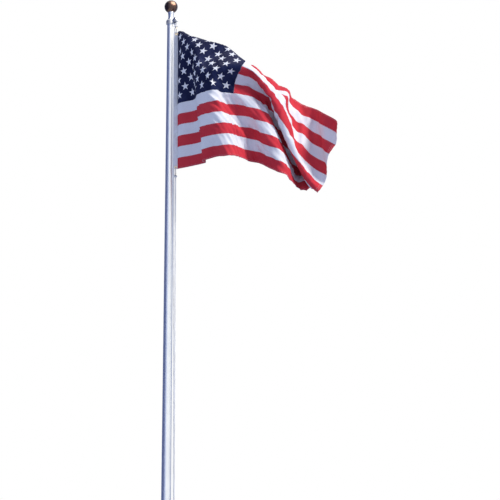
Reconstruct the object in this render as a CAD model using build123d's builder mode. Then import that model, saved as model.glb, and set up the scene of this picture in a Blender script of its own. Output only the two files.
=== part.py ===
from build123d import *
import os
from math import cos, radians, sin

# A twenty-foot tapered aluminium flagpole on a cast shoe base, with its truck, ball,
# halyard, cleat and the flag that flies from it. The origin is the middle of the shoe
# base's underside, +Z is up the pole and +X is the way the flag flies. Millimetres.

# ---- driving dimensions ----------------------------------------------------------

# Pole shaft: one tapered tube
pole_top = 6096.0
butt_diameter = 73.0
top_diameter = 47.6
shaft_wall = 3.2

# Shoe base: square foot, round socket, ribs
foot_side = 160.0
foot_corner = 22.0
foot_thickness = 18.0
foot_floor = 8.0
socket_wall = 9.0
socket_height = 105.0
socket_fit = 0.15
rib_thickness = 10.0
rib_height = 62.0
anchor_circle = 165.1
anchor_hole_radius = 8.7
anchor_count = 4

# Truck cap and its fork
cap_wall = 6.6
cap_depth = 22.0
cap_plate = 5.0
cap_fit = 0.15
cap_bevel = 3.5
truck_azimuth = -54.0
cheek_thickness = 4.0
cheek_drop = 11.0
hood_thickness = 3.0

# Sheave and its pin
sheave_pitch_radius = 11.5
sheave_width = 10.0
sheave_side_gap = 1.0
sheave_rim_above_pitch = 2.5
sheave_below_cap_top = 13.0
sheave_to_cap = 3.0
pin_radius = 3.175
pin_running_gap = 0.05
pin_head_radius = 6.0
pin_head_thickness = 2.0

# Neck and ball
neck_height = 52.0
neck_foot_radius = 24.0
neck_waist_radius = 17.5
neck_head_radius = 19.5
ball_radius = 43.0
ball_shell = 1.5
ball_seam_bevel = 0.5
stem_radius = 6.35
stem_gap = 0.1
seat_gap = 0.3
splice_gap = 0.1

# Halyard
rope_radius = 3.0
groove_gap = 0.3
hood_gap = 2.0

# Cleat on the flag side of the shaft
cleat_height = 1350.0
cleat_width = 16.0
cleat_span = 76.0
cleat_reach = 41.0
cleat_foot = 34.0
cleat_edge_radius = 2.0
cleat_gap = 0.15

# Flag: heading, grommets and cloth
flag_hoist = 914.4
heading_width = 30.0
heading_thickness = 2.0
heading_below_cap = 74.0
heading_stand_off = 18.0
grommet_hole_radius = 5.5
grommet_rim_radius = 9.0
grommet_rim_thickness = 1.2
grommet_inset = 14.0
grommet_gap = 0.15
cloth_thickness = 3.0
cloth_gap = 0.3

# Snap hooks
snap_wire_radius = 2.2
snap_eye_radius = 6.8
snap_eye_wire = 1.9
snap_barrel_radius = 3.8
snap_barrel_length = 11.0
snap_eye_above_heading = 36.0
snap_nose_length = 9.0
snap_seat = 0.75
gate_radius = 1.6
hitch_gap = 0.6
hitch_turns = 2

# ---- places worked out from them -------------------------------------------------

butt_radius = butt_diameter / 2
tip_radius = top_diameter / 2
cap_radius = tip_radius + cap_fit + cap_wall
cap_top = pole_top + cap_plate
cap_bottom = pole_top - cap_depth

sheave_rim_radius = sheave_pitch_radius + sheave_rim_above_pitch
sheave_reach = cap_radius + sheave_to_cap + sheave_rim_radius
slot_half_width = sheave_width / 2 + sheave_side_gap
slot_radius = sheave_pitch_radius + rope_radius + hood_gap
fork_radius = slot_radius + hood_thickness
fork_half_width = slot_half_width + cheek_thickness
sheave_z = cap_top - sheave_below_cap_top

# Radial and tangential directions at the truck's side
outward = Vector(cos(radians(truck_azimuth)), sin(radians(truck_azimuth)), 0)
tangent = Vector(-outward.Y, outward.X, 0)
sheave_centre = outward * sheave_reach + Vector(0, 0, sheave_z)

ball_z = cap_top + neck_height + ball_radius

heading_top = cap_bottom - heading_below_cap
heading_bottom = heading_top - flag_hoist


def shaft_radius(height):
    """Outside radius of the tapered shaft at a height above the ground."""
    return butt_radius - (butt_radius - tip_radius) * height / pole_top


# Both falls of the halyard run straight from the sheave to the cleat, one each side
belay_x = shaft_radius(cleat_height) + 24.0
belay_y = cleat_width / 2 + rope_radius + 3.0
belay_z = cleat_height + cleat_span + 24.0
hoist_fall_top = sheave_centre + outward * sheave_pitch_radius
hoist_fall_foot = Vector(belay_x, -belay_y, belay_z)
return_fall_top = sheave_centre - outward * sheave_pitch_radius
return_fall_foot = Vector(belay_x, belay_y, belay_z)
fall_direction = (hoist_fall_foot - hoist_fall_top).normalized()


def on_hoist_fall(height):
    """Point of the hoist fall's centre line at a height above the ground."""
    share = (hoist_fall_top.Z - height) / (hoist_fall_top.Z - hoist_fall_foot.Z)
    return hoist_fall_top + (hoist_fall_foot - hoist_fall_top) * share


def on_heading(height):
    """Middle of the flag's heading at a height: it stands off the hoist fall."""
    return on_hoist_fall(height) - Vector(0, heading_stand_off, 0)


os.makedirs("parts", exist_ok=True)


def save(builder, label):
    """Label a finished piece and write it to its own STEP file."""
    builder.part.label = label
    export_step(builder.part, f"parts/{label}.step")


# ---- shoe base -------------------------------------------------------------------

socket_radius = butt_radius + socket_fit
hub_radius = socket_radius + socket_wall

with BuildPart() as shoe_base:
    with BuildSketch():
        RectangleRounded(foot_side, foot_side, foot_corner)
    extrude(amount=foot_thickness)
    chamfer(shoe_base.faces().sort_by(Axis.Z)[-1].edges(), 2.0)
    # The hub is drafted like a casting
    with BuildSketch(Plane.XY.offset(foot_thickness - 1)):
        Circle(hub_radius + 3)
    with BuildSketch(Plane.XY.offset(socket_height)):
        Circle(hub_radius)
    loft()
    # Ribs point at the sides, between the anchor holes
    rib_reach = foot_side / 2 - 8
    with BuildSketch(Plane.XZ):
        with BuildLine():
            Polyline(
                (hub_radius - 2, foot_thickness - 1),
                (rib_reach, foot_thickness - 1),
                (rib_reach, foot_thickness + 6),
                (hub_radius + 2, foot_thickness + rib_height),
                (hub_radius - 2, foot_thickness + rib_height),
                close=True,
            )
        make_face()
    rib = extrude(amount=rib_thickness / 2, both=True, mode=Mode.PRIVATE)
    with PolarLocations(0, 4):
        add(rib)
    with BuildSketch(Plane.XY.offset(foot_floor)):
        Circle(socket_radius)
    extrude(amount=socket_height, mode=Mode.SUBTRACT)
    with Locations((0, 0, foot_thickness)):
        with PolarLocations(anchor_circle / 2, anchor_count, start_angle=45):
            Hole(anchor_hole_radius)
save(shoe_base, "shoe_base")

# ---- pole shaft ------------------------------------------------------------------

with BuildPart() as pole_shaft:
    with BuildSketch(Plane.XZ):
        with BuildLine():
            Polyline(
                (shaft_radius(foot_floor), foot_floor),
                (tip_radius, pole_top),
                (tip_radius - shaft_wall, pole_top),
                (shaft_radius(foot_floor) - shaft_wall, foot_floor),
                close=True,
            )
        make_face()
    revolve(axis=Axis.Z)
save(pole_shaft, "pole_shaft")

# ---- truck cap with its fork -----------------------------------------------------

fork_plane = Plane(origin=sheave_centre, x_dir=outward, z_dir=-tangent)

with BuildPart() as truck_cap:
    with BuildSketch(Plane.XZ):
        with BuildLine():
            Polyline(
                (0, cap_top),
                (cap_radius - cap_bevel, cap_top),
                (cap_radius, cap_top - cap_bevel),
                (cap_radius, cap_bottom + 1.5),
                (cap_radius - 1.5, cap_bottom),
                (tip_radius + cap_fit, cap_bottom),
                (tip_radius + cap_fit, pole_top),
                (0, pole_top),
                close=True,
            )
        make_face()
    revolve(axis=Axis.Z)
    # Fork: a hooded lug, rounded about the pin and rooted in the cap's wall
    root = sheave_reach - cap_radius + cap_wall / 2
    with BuildSketch(fork_plane):
        Circle(fork_radius)
        with Locations((-root / 2, (fork_radius - cheek_drop) / 2 - 3)):
            Rectangle(root, fork_radius + cheek_drop - 6)
        with Locations((0, -cheek_drop - fork_radius)):
            Rectangle(4 * fork_radius, 2 * fork_radius, mode=Mode.SUBTRACT)
    extrude(amount=fork_half_width, both=True)
    # Slot for the sheave and both falls, open below
    with BuildSketch(fork_plane):
        Circle(slot_radius)
        with Locations((0, -fork_radius)):
            Rectangle(2 * slot_radius, 2 * fork_radius)
    extrude(amount=slot_half_width, both=True, mode=Mode.SUBTRACT)
    with BuildSketch(fork_plane):
        Circle(pin_radius + pin_running_gap)
    extrude(amount=fork_half_width + 1, both=True, mode=Mode.SUBTRACT)
save(truck_cap, "truck_cap")

# ---- sheave and pin --------------------------------------------------------------

sheave_section = Plane(origin=sheave_centre, x_dir=tangent, z_dir=(0, 0, -1))
sheave_axis = Axis(origin=sheave_centre, direction=tangent)

with BuildPart() as truck_sheave:
    with BuildSketch(sheave_section):
        bore = pin_radius + pin_running_gap
        with Locations((0, (bore + sheave_rim_radius) / 2)):
            Rectangle(sheave_width, sheave_rim_radius - bore)
        with Locations((0, sheave_pitch_radius)):
            Circle(rope_radius + groove_gap, mode=Mode.SUBTRACT)
        with Locations((0, sheave_pitch_radius + sheave_rim_above_pitch / 2 + 0.5)):
            Rectangle(
                2 * (rope_radius + groove_gap),
                sheave_rim_above_pitch + 1,
                mode=Mode.SUBTRACT,
            )
    revolve(axis=sheave_axis)
save(truck_sheave, "truck_sheave")

with BuildPart() as sheave_pin:
    with BuildSketch(fork_plane):
        Circle(pin_radius)
    extrude(amount=fork_half_width, both=True)
    for side in (-1, 1):
        head_face = fork_plane.offset(side * fork_half_width)
        with BuildSketch(head_face):
            Circle(pin_head_radius)
        extrude(amount=side * pin_head_thickness)
    head_rims = sheave_pin.edges().filter_by(GeomType.CIRCLE).sort_by(Axis(sheave_centre, tangent))
    chamfer([head_rims[0], head_rims[-1]], 0.7)
save(sheave_pin, "sheave_pin")

# ---- neck, stem and ball ---------------------------------------------------------

stem_foot = cap_top + neck_height - 26.0
stem_head = ball_z - ball_radius + 16.0

with BuildPart() as truck_neck:
    with BuildSketch(Plane.XZ):
        with BuildLine():
            Polyline(
                (0, cap_top + neck_height + 8),
                (0, cap_top),
                (neck_foot_radius, cap_top),
                (neck_foot_radius, cap_top + 3),
            )
            Spline(
                (neck_foot_radius, cap_top + 3),
                (neck_waist_radius, cap_top + neck_height * 0.48),
                (neck_head_radius, cap_top + neck_height),
                tangents=((-1, 1), (0.15, 1)),
            )
            Polyline(
                (neck_head_radius, cap_top + neck_height),
                (neck_head_radius, cap_top + neck_height + 8),
                (0, cap_top + neck_height + 8),
            )
        make_face()
    revolve(axis=Axis.Z)
    # Dished seat for the ball
    with Locations((0, 0, ball_z)):
        Sphere(ball_radius + seat_gap, mode=Mode.SUBTRACT)
    with BuildSketch(Plane.XY.offset(stem_foot)):
        Circle(stem_radius + stem_gap)
    extrude(amount=neck_height, mode=Mode.SUBTRACT)
save(truck_neck, "truck_neck")

with BuildPart() as ball_stem:
    with BuildSketch(Plane.XY.offset(stem_foot)):
        Circle(stem_radius)
    extrude(amount=stem_head - stem_foot)
    chamfer(ball_stem.edges().sort_by(Axis.Z)[-1], 1.0)
save(ball_stem, "ball_stem")


def ball_half(keep):
    """One spun half of the ball, bevelled at the seam; keep says which half."""
    with BuildPart() as half:
        with Locations((0, 0, ball_z)):
            Sphere(ball_radius)
            Sphere(ball_radius - ball_shell, mode=Mode.SUBTRACT)
        split(bisect_by=Plane.XY.offset(ball_z), keep=keep)
        seam = half.edges().filter_by(GeomType.CIRCLE).filter_by(
            lambda edge: abs(edge.radius - ball_radius) < 0.01
        )
        chamfer(seam, ball_seam_bevel)
        if keep == Keep.BOTTOM:
            with BuildSketch(Plane.XY.offset(ball_z - ball_radius - 1)):
                Circle(stem_radius + stem_gap)
            extrude(amount=ball_radius / 2, mode=Mode.SUBTRACT)
    return half


save(ball_half(Keep.BOTTOM), "ball_lower_half")
save(ball_half(Keep.TOP), "ball_upper_half")

# ---- cleat -----------------------------------------------------------------------

cleat_seat = shaft_radius(cleat_height)
cleat_plane = Plane(origin=(cleat_seat, 0, cleat_height), x_dir=(1, 0, 0), z_dir=(0, -1, 0))

with BuildPart() as cleat:
    with BuildSketch(cleat_plane):
        with BuildLine():
            Polyline((-6, 0), (-6, cleat_foot), (4, cleat_foot))
            ThreePointArc((4, cleat_foot), (13, cleat_foot - 9), (22, cleat_foot + 1))
            Line((22, cleat_foot + 1), (cleat_reach - 9, cleat_span - 4))
            ThreePointArc(
                (cleat_reach - 9, cleat_span - 4),
                (cleat_reach - 5, cleat_span),
                (cleat_reach - 1, cleat_span - 4),
            )
            TangentArc((cleat_reach - 3, 0), (cleat_reach - 1, cleat_span - 4), tangent=(0, 1))
            mirror(about=Plane.XZ)
        make_face()
    extrude(amount=cleat_width / 2, both=True)
    fillet(cleat.edges().filter_by(Axis.Y, reverse=True), cleat_edge_radius)
    # Hollow of the foot, cut to the round of the shaft
    with BuildSketch(Plane.XZ):
        with BuildLine():
            low, high = cleat_height - 2 * cleat_span, cleat_height + 2 * cleat_span
            Polyline(
                (0, low),
                (shaft_radius(low) + cleat_gap, low),
                (shaft_radius(high) + cleat_gap, high),
                (0, high),
                close=True,
            )
        make_face()
    revolve(axis=Axis.Z, mode=Mode.SUBTRACT)
save(cleat, "cleat")

# ---- halyard ---------------------------------------------------------------------


def straight_rope(start, end):
    """A straight length of rope between two points, a hair short at each end."""
    run = end - start
    with BuildPart() as rope:
        with BuildSketch(Plane(origin=start + run.normalized() * splice_gap, z_dir=run)):
            Circle(rope_radius)
        extrude(amount=run.length - 2 * splice_gap)
    return rope


save(straight_rope(hoist_fall_top, hoist_fall_foot), "halyard_hoist_fall")
save(straight_rope(return_fall_top, return_fall_foot), "halyard_return_fall")

with BuildPart() as over_sheave:
    with BuildSketch(Plane(origin=sheave_centre, x_dir=tangent, z_dir=(0, 0, -1))):
        with Locations((0, sheave_pitch_radius)):
            Circle(rope_radius)
    revolve(axis=Axis(sheave_centre, -tangent), revolution_arc=180)
save(over_sheave, "halyard_over_sheave")

# One figure of eight round the cleat, joining the two falls
gap_x = cleat_seat + 11.0
side_x = cleat_seat + 17.0
side_y = cleat_width / 2 + rope_radius + 2.0
front_x = cleat_seat + cleat_reach + rope_radius + 3.0
lower_pass = cleat_height - cleat_foot - 9.0
upper_pass = cleat_height + cleat_foot + 11.0
fall_overrun = 62.0
return_direction = (return_fall_foot - return_fall_top).normalized()
turns_route = [
    hoist_fall_foot,
    hoist_fall_foot + fall_direction * fall_overrun,
    Vector(side_x, -side_y, cleat_height - 22),
    Vector(gap_x, -side_y + 4, lower_pass),
    Vector(gap_x, side_y - 2, lower_pass),
    Vector(side_x + 2, side_y + 1, cleat_height - 24),
    Vector(front_x, 11, cleat_height - 6),
    Vector(front_x, -9, cleat_height + 4),
    Vector(side_x + 4, -side_y - 9, cleat_height + 24),
    Vector(gap_x - 1, -side_y - 2, upper_pass - 5),
    Vector(gap_x, side_y - 3, upper_pass),
    return_fall_foot + return_direction * fall_overrun / 2,
    return_fall_foot,
]
turn_radii = [60, 9, 8, 8, 9, 8, 8, 8, 9, 9, 12]

with BuildPart() as cleat_turns:
    with BuildLine():
        turns_line = FilletPolyline(*turns_route, radius=turn_radii)
    with BuildSketch(Plane(origin=turns_line @ 0, z_dir=turns_line % 0)):
        Circle(rope_radius)
    sweep()
print("cleat turns: radii", turn_radii, "length", round(turns_line.length, 1))
save(cleat_turns, "halyard_cleat_turns")

# ---- flag heading, grommets and cloth --------------------------------------------

with BuildPart() as flag_heading:
    for height in (heading_top, heading_bottom):
        middle = on_heading(height)
        with BuildSketch(Plane(origin=middle, x_dir=(1, 0, 0), z_dir=(0, 0, 1))):
            Rectangle(heading_width, heading_thickness)
    loft()
    for height in (heading_top - grommet_inset, heading_bottom + grommet_inset):
        with BuildSketch(Plane(origin=on_heading(height), x_dir=(1, 0, 0), z_dir=(0, -1, 0))):
            Circle(grommet_hole_radius + grommet_rim_thickness)
        extrude(amount=heading_thickness * 2, both=True, mode=Mode.SUBTRACT)
save(flag_heading, "flag_heading")


def grommet(height):
    """A two-part brass eyelet, rolled over both faces of the heading."""
    face = heading_thickness / 2
    lip = face + grommet_rim_thickness
    with BuildPart() as ring:
        with BuildSketch(Plane(origin=on_heading(height), x_dir=(1, 0, 0), z_dir=(0, 0, 1))):
            with BuildLine():
                Polyline(
                    (grommet_hole_radius, -lip + 0.5),
                    (grommet_hole_radius, lip - 0.5),
                    (grommet_hole_radius + 0.5, lip),
                    (grommet_rim_radius - 0.5, lip),
                    (grommet_rim_radius, face + grommet_gap),
                    (grommet_hole_radius + grommet_rim_thickness - grommet_gap, face + grommet_gap),
                    (grommet_hole_radius + grommet_rim_thickness - grommet_gap, -face - grommet_gap),
                    (grommet_rim_radius, -face - grommet_gap),
                    (grommet_rim_radius - 0.5, -lip),
                    (grommet_hole_radius + 0.5, -lip),
                    close=True,
                )
            make_face()
        revolve(axis=Axis(on_heading(height), (0, 1, 0)))
    return ring


save(grommet(heading_top - grommet_inset), "grommet_upper")
save(grommet(heading_bottom + grommet_inset), "grommet_lower")

# The cloth is a plain waving sheet, cut to the drooping outline of the flag
cloth_start = on_heading(heading_top) + Vector(heading_width / 2 + cloth_gap, 0, 0)
wave_plan = [
    (0, 0),
    (60, -90),
    (120, -393),
    (330, -318),
    (500, -345),
    (690, -150),
    (855, 125),
    (1012, -70),
]
wave_radii = [50, 60, 70, 70, 70, 50]
cloth_outline = [
    (60, -34),
    (150, -116),
    (260, -130),
    (400, -252),
    (540, -300),
    (700, -415),
    (860, -545),
    (1018, -626),
    (990, -760),
    (920, -1030),
    (880, -1075),
    (740, -1050),
    (560, -960),
    (420, -915),
]

with BuildPart() as flag_cloth:
    with BuildSketch(Plane.XY.offset(heading_top + 5)):
        with BuildLine(Plane.XY):
            FilletPolyline(
                *[(cloth_start.X + x, cloth_start.Y + y) for x, y in wave_plan],
                radius=wave_radii,
            )
        trace(line_width=cloth_thickness)
    extrude(amount=1200, dir=fall_direction)
    lower_corner = on_heading(heading_bottom) + Vector(heading_width / 2 + cloth_gap, 0, 0)
    with BuildSketch(Plane.XZ):
        with BuildLine():
            Polyline(
                (cloth_start.X, heading_top),
                *[(cloth_start.X + x, heading_top + z) for x, z in cloth_outline],
                (lower_corner.X, heading_bottom),
                close=True,
            )
        make_face()
    extrude(amount=flag_hoist, both=True, mode=Mode.INTERSECT)
save(flag_cloth, "flag_cloth")

# ---- snap hooks and the hitches that tie them to the halyard ---------------------


def snap_frame(edge, up):
    """Plane of a snap: X points from the hoist fall to the heading, Y along the fall."""
    eye = on_hoist_fall(edge + up * snap_eye_above_heading)
    return Plane(origin=eye, x_dir=(0, -1, 0), z_dir=(-up, 0, 0))


def save_snap(edge, up, name):
    """Swivel eye, hook and gate of one snap; up is 1 above the flag and -1 below it."""
    frame = snap_frame(edge, up)
    spine = heading_stand_off - snap_wire_radius * 2 - 1.6
    bend = heading_stand_off - spine
    barrel_top = -3.0
    barrel_foot = barrel_top - snap_barrel_length
    bar = grommet_hole_radius - snap_wire_radius - snap_seat - snap_eye_above_heading - grommet_inset
    barrel_plane = Plane(origin=frame.from_local_coords((spine, barrel_top, 0)), z_dir=-frame.y_dir)

    with BuildPart() as eye:
        with BuildSketch(frame):
            with Locations((snap_eye_radius, 0)):
                Circle(snap_eye_wire)
        revolve(axis=Axis(frame.origin, frame.y_dir))
        with BuildLine():
            FilletPolyline(
                frame.from_local_coords((snap_eye_radius, 0, 0)),
                frame.from_local_coords((spine, 0, 0)),
                frame.from_local_coords((spine, barrel_top - 7, 0)),
                radius=2.6,
            )
        with BuildSketch(Plane(origin=frame.from_local_coords((snap_eye_radius, 0, 0)), z_dir=frame.x_dir)):
            Circle(snap_eye_wire)
        sweep()
    save(eye, f"snap_{name}_eye")

    with BuildPart() as hook:
        with BuildSketch(barrel_plane):
            Circle(snap_barrel_radius)
        extrude(amount=snap_barrel_length)
        with BuildSketch(barrel_plane):
            Circle(snap_eye_wire + stem_gap)
        extrude(amount=7 + stem_gap, mode=Mode.SUBTRACT)
        with BuildLine():
            spine_line = Line(
                frame.from_local_coords((spine, barrel_foot + 1, 0)),
                frame.from_local_coords((spine, bar + bend, 0)),
            )
            ThreePointArc(
                spine_line @ 1,
                frame.from_local_coords((spine + bend, bar, 0)),
                frame.from_local_coords((spine + 2 * bend, bar + bend, 0)),
            )
            Line(
                frame.from_local_coords((spine + 2 * bend, bar + bend, 0)),
                frame.from_local_coords((spine + 2 * bend, bar + bend + snap_nose_length, 0)),
            )
        with BuildSketch(Plane(origin=spine_line @ 0, z_dir=-frame.y_dir)):
            Circle(snap_wire_radius)
        sweep()
    save(hook, f"snap_{name}_hook")

    nose = Vector(spine + 2 * bend, bar + bend + snap_nose_length + seat_gap, 0)
    hinge = Vector(spine + snap_barrel_radius + gate_radius + 0.1, barrel_foot + 3, 0)
    shoulder = Vector(nose.X, hinge.Y - 4, 0)
    with BuildPart() as gate:
        with BuildLine():
            gate_line = FilletPolyline(
                frame.from_local_coords(nose),
                frame.from_local_coords(shoulder),
                frame.from_local_coords(hinge),
                radius=3.0,
            )
        with BuildSketch(Plane(origin=gate_line @ 0, z_dir=gate_line % 0)):
            Circle(gate_radius)
        sweep()
    save(gate, f"snap_{name}_gate")

    # Round turns of the halyard's end beyond the eye, seized to the standing part
    turn = rope_radius + hitch_gap + rope_radius
    first = snap_eye_wire + rope_radius + seat_gap
    with BuildPart() as hitch:
        with BuildSketch(frame):
            for index in range(hitch_turns):
                with Locations((turn, first + index * (2 * rope_radius - 0.6))):
                    Circle(rope_radius)
        revolve(axis=Axis(frame.origin, frame.y_dir))
    save(hitch, f"hitch_{name}")


save_snap(heading_top, 1, "upper")
save_snap(heading_bottom, -1, "lower")

print("slide axis", [round(value, 8) for value in tuple(fall_direction)])
print("sheave axis", [round(value, 8) for value in tuple(tangent)])
print("sheave centre", [round(value / 1000, 8) for value in tuple(sheave_centre)])
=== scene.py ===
import logging
import math
from collections.abc import Callable, Sequence
from dataclasses import dataclass
from enum import Enum

import bpy
import numpy as np
from mathutils import Matrix, Vector


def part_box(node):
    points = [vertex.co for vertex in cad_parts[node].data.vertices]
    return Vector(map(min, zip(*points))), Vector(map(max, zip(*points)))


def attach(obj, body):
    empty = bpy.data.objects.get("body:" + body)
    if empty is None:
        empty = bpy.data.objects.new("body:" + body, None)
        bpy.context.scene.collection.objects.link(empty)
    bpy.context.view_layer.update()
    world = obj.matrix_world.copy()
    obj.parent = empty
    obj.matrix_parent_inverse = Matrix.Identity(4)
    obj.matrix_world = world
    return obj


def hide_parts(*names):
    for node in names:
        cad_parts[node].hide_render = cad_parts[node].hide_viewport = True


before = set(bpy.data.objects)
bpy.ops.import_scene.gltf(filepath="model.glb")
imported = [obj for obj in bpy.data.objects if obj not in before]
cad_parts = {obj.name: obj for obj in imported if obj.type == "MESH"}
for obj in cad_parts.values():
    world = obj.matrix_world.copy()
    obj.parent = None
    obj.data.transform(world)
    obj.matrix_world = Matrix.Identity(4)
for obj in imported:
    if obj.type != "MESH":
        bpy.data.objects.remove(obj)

logging.basicConfig(level=logging.INFO, format="%(message)s")
log = logging.getLogger("flagpole")

Colour = tuple[float, float, float]
Point = tuple[float, float, float]

# The flag's cloth, laid flat: its depth, its length, its stripes and its blue corner.
HOIST = 0.9144
FLY = 1.524
STRIPES = 13
STRIPE = HOIST / STRIPES
CANTON = (0.6096, HOIST * 7 / STRIPES)

# The camera's place, the way that the hoist hangs down the rope, and the plane of the heading.
EYE: Point = (0.038, -12.0, 1.579)
HANG: Point = (0.00495, 0.00728, -1.0)
HEADING_Y = -0.0656

MILLIMETRE = 0.001
UP = Vector((0, 0, 1))
BLACK: Colour = (0.0, 0.0, 0.0)
WHITE: Colour = (1.0, 1.0, 1.0)


class Body(Enum):
    """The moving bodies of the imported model."""

    POLE = "pole"
    FLAG = "flag"


class Slot(Enum):
    """Material slots of the record."""

    SATIN = "satin_aluminium"
    CAST = "cast_aluminium"
    TURNED = "turned_aluminium"
    GOLD = "gold_anodised"
    STAINLESS = "stainless_steel"
    NYLON = "nylon_sheave"
    ROPE = "white_rope"
    CANVAS = "canvas_heading"
    CLOTH = "flag_cloth"
    BRASS = "brass_grommet"
    PLATED = "plated_snap"


# ---- shader nodes ----------------------------------------------------------------


class Wire:
    """A value in a shader tree, on which arithmetic adds Math nodes."""

    def __init__(self, nodes: "Nodes", socket: bpy.types.NodeSocket) -> None:
        """Keeps the socket and the helper of its tree."""
        self.nodes, self.socket = nodes, socket

    def math(self, operation: str, *others: "Value") -> "Wire":
        """The result of a Math node whose first input is this value."""
        return self.nodes.math(operation, self, *others)

    def __add__(self, other: "Value") -> "Wire":
        """This value plus another."""
        return self.math("ADD", other)

    def __sub__(self, other: "Value") -> "Wire":
        """This value less another."""
        return self.math("SUBTRACT", other)

    def __rsub__(self, other: "Value") -> "Wire":
        """Another value less this one."""
        return self.nodes.math("SUBTRACT", other, self)

    def __mul__(self, other: "Value") -> "Wire":
        """This value times another."""
        return self.math("MULTIPLY", other)

    def __truediv__(self, other: "Value") -> "Wire":
        """This value divided by another."""
        return self.math("DIVIDE", other)

    def __abs__(self) -> "Wire":
        """This value without its sign."""
        return self.math("ABSOLUTE")

    def ramp(self, low: float, high: float, start: float = 0.0, end: float = 1.0) -> "Wire":
        """Maps this value smoothly from one range to another.

        Args:
            low: Where the rise starts.
            high: Where it ends.
            start: The result at and below low.
            end: The result at and above high.

        Returns:
            The mapped value.
        """
        node = self.nodes.add("ShaderNodeMapRange", interpolation_type="SMOOTHSTEP")
        return self.nodes.through(node, self, low, high, start, end)


Value = float | Colour | Wire
Outputs = dict[str, Wire]


class Nodes:
    """Adds nodes to one shader tree and joins them."""

    def __init__(self, tree: bpy.types.NodeTree) -> None:
        """Keeps the tree that this helper writes into."""
        self.tree = tree

    def add(self, kind: str, **settings: object) -> bpy.types.Node:
        """Adds one node.

        Args:
            kind: The node's type name.
            settings: Properties to set on it.

        Returns:
            The new node.
        """
        node = self.tree.nodes.new(kind)
        for name, value in settings.items():
            setattr(node, name, value)
        return node

    def feed(self, socket: bpy.types.NodeSocket, value: Value) -> None:
        """Joins or sets one input.

        Args:
            socket: The input.
            value: A wire to join, or a number or colour to set.
        """
        if isinstance(value, Wire):
            self.tree.links.new(value.socket, socket)
        elif isinstance(value, tuple) and socket.type == "RGBA":
            socket.default_value = (*value[:3], 1.0)
        else:
            socket.default_value = value

    def set(self, node: bpy.types.Node, **values: Value) -> None:
        """Feeds a node's inputs by name, with spaces written as underscores."""
        for name, value in values.items():
            self.feed(node.inputs[name.replace("_", " ")], value)

    def through(self, node: bpy.types.Node, *values: Value) -> Wire:
        """Feeds a node's inputs in order.

        Args:
            node: The node.
            values: One value an input.

        Returns:
            Its first output.
        """
        for socket, value in zip(node.inputs, values):
            self.feed(socket, value)
        return Wire(self, node.outputs[0])

    def math(self, operation: str, *values: Value) -> Wire:
        """The result of a Math node."""
        return self.through(self.add("ShaderNodeMath", operation=operation), *values)

    def scaled(self, place: Wire, factors: Point) -> Wire:
        """A vector with each part multiplied by its own factor."""
        return self.through(self.add("ShaderNodeVectorMath", operation="MULTIPLY"), place, factors)

    def mix(self, factor: Value, first: Value, second: Value) -> Wire:
        """Mixes two colours.

        Args:
            factor: How much of the second shows.
            first: A colour or wire.
            second: A colour or wire.

        Returns:
            The mixed colour.
        """
        node = self.add("ShaderNodeMix", data_type="RGBA")
        for index, value in ((0, factor), (6, first), (7, second)):
            self.feed(node.inputs[index], value)
        return Wire(self, node.outputs[2])

    def noise(self, place: Wire, scale: Value, detail: float = 3.0, rough: float = 0.5) -> Wire:
        """Adds a Noise Texture.

        Args:
            place: The coordinates.
            scale: Its scale.
            detail: Its octaves.
            rough: How strong the small ones are.

        Returns:
            Its value.
        """
        node = self.add("ShaderNodeTexNoise")
        self.set(node, Vector=place, Scale=scale, Detail=detail, Roughness=rough)
        return Wire(self, node.outputs["Fac"])

    def place(self) -> Wire:
        """The piece's own coordinates."""
        return Wire(self, self.add("ShaderNodeTexCoord").outputs["Object"])

    def chart(self, name: str) -> Wire:
        """The coordinates of a UV map."""
        return Wire(self, self.add("ShaderNodeUVMap", uv_map=name).outputs[0])

    def attribute(self, name: str) -> Wire:
        """The value of a point attribute."""
        return Wire(self, self.add("ShaderNodeAttribute", attribute_name=name).outputs["Fac"])

    def split(self, place: Wire) -> tuple[Wire, Wire]:
        """The x and y of a vector.

        Args:
            place: The vector.

        Returns:
            Its x and y.
        """
        node = self.add("ShaderNodeSeparateXYZ")
        self.feed(node.inputs[0], place)
        return Wire(self, node.outputs[0]), Wire(self, node.outputs[1])

    def group(self, effect: "Effect", **values: Value) -> Outputs:
        """Places a shared effect.

        Args:
            effect: Which one.
            values: Its inputs by name.

        Returns:
            Its outputs by name.
        """
        node = self.add("ShaderNodeGroup", node_tree=effect.tree())
        self.set(node, **values)
        return {output.name: Wire(self, output) for output in node.outputs}


# ---- shared effects --------------------------------------------------------------


class Effect:
    """A recipe that more than one finish uses, built once as a node group."""

    def __init__(self, recipe: Callable[..., Outputs], **inputs: float | tuple[float, ...]) -> None:
        """Keeps the recipe and its inputs' defaults."""
        self.recipe, self.inputs = recipe, inputs
        self.made: bpy.types.NodeTree | None = None

    def tree(self) -> bpy.types.NodeTree:
        """The effect's node group, built at its first use.

        Returns:
            The node group.
        """
        if self.made is None:
            self.made = bpy.data.node_groups.new(self.recipe.__name__, "ShaderNodeTree")
            nodes, kinds = Nodes(self.made), {1: "Float", 3: "Vector", 4: "Color"}
            for name, default in self.inputs.items():
                kind = "NodeSocket" + kinds[np.size(default)]
                self.made.interface.new_socket(name, in_out="INPUT", socket_type=kind).default_value = default
            entry, leave = nodes.add("NodeGroupInput"), nodes.add("NodeGroupOutput")
            results = self.recipe(nodes, *(Wire(nodes, entry.outputs[name]) for name in self.inputs))
            for name, wire in results.items():
                kind = "NodeSocketColor" if wire.socket.type == "RGBA" else "NodeSocketFloat"
                self.made.interface.new_socket(name, in_out="OUTPUT", socket_type=kind)
                nodes.feed(leave.inputs[name], wire)
        return self.made


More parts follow.
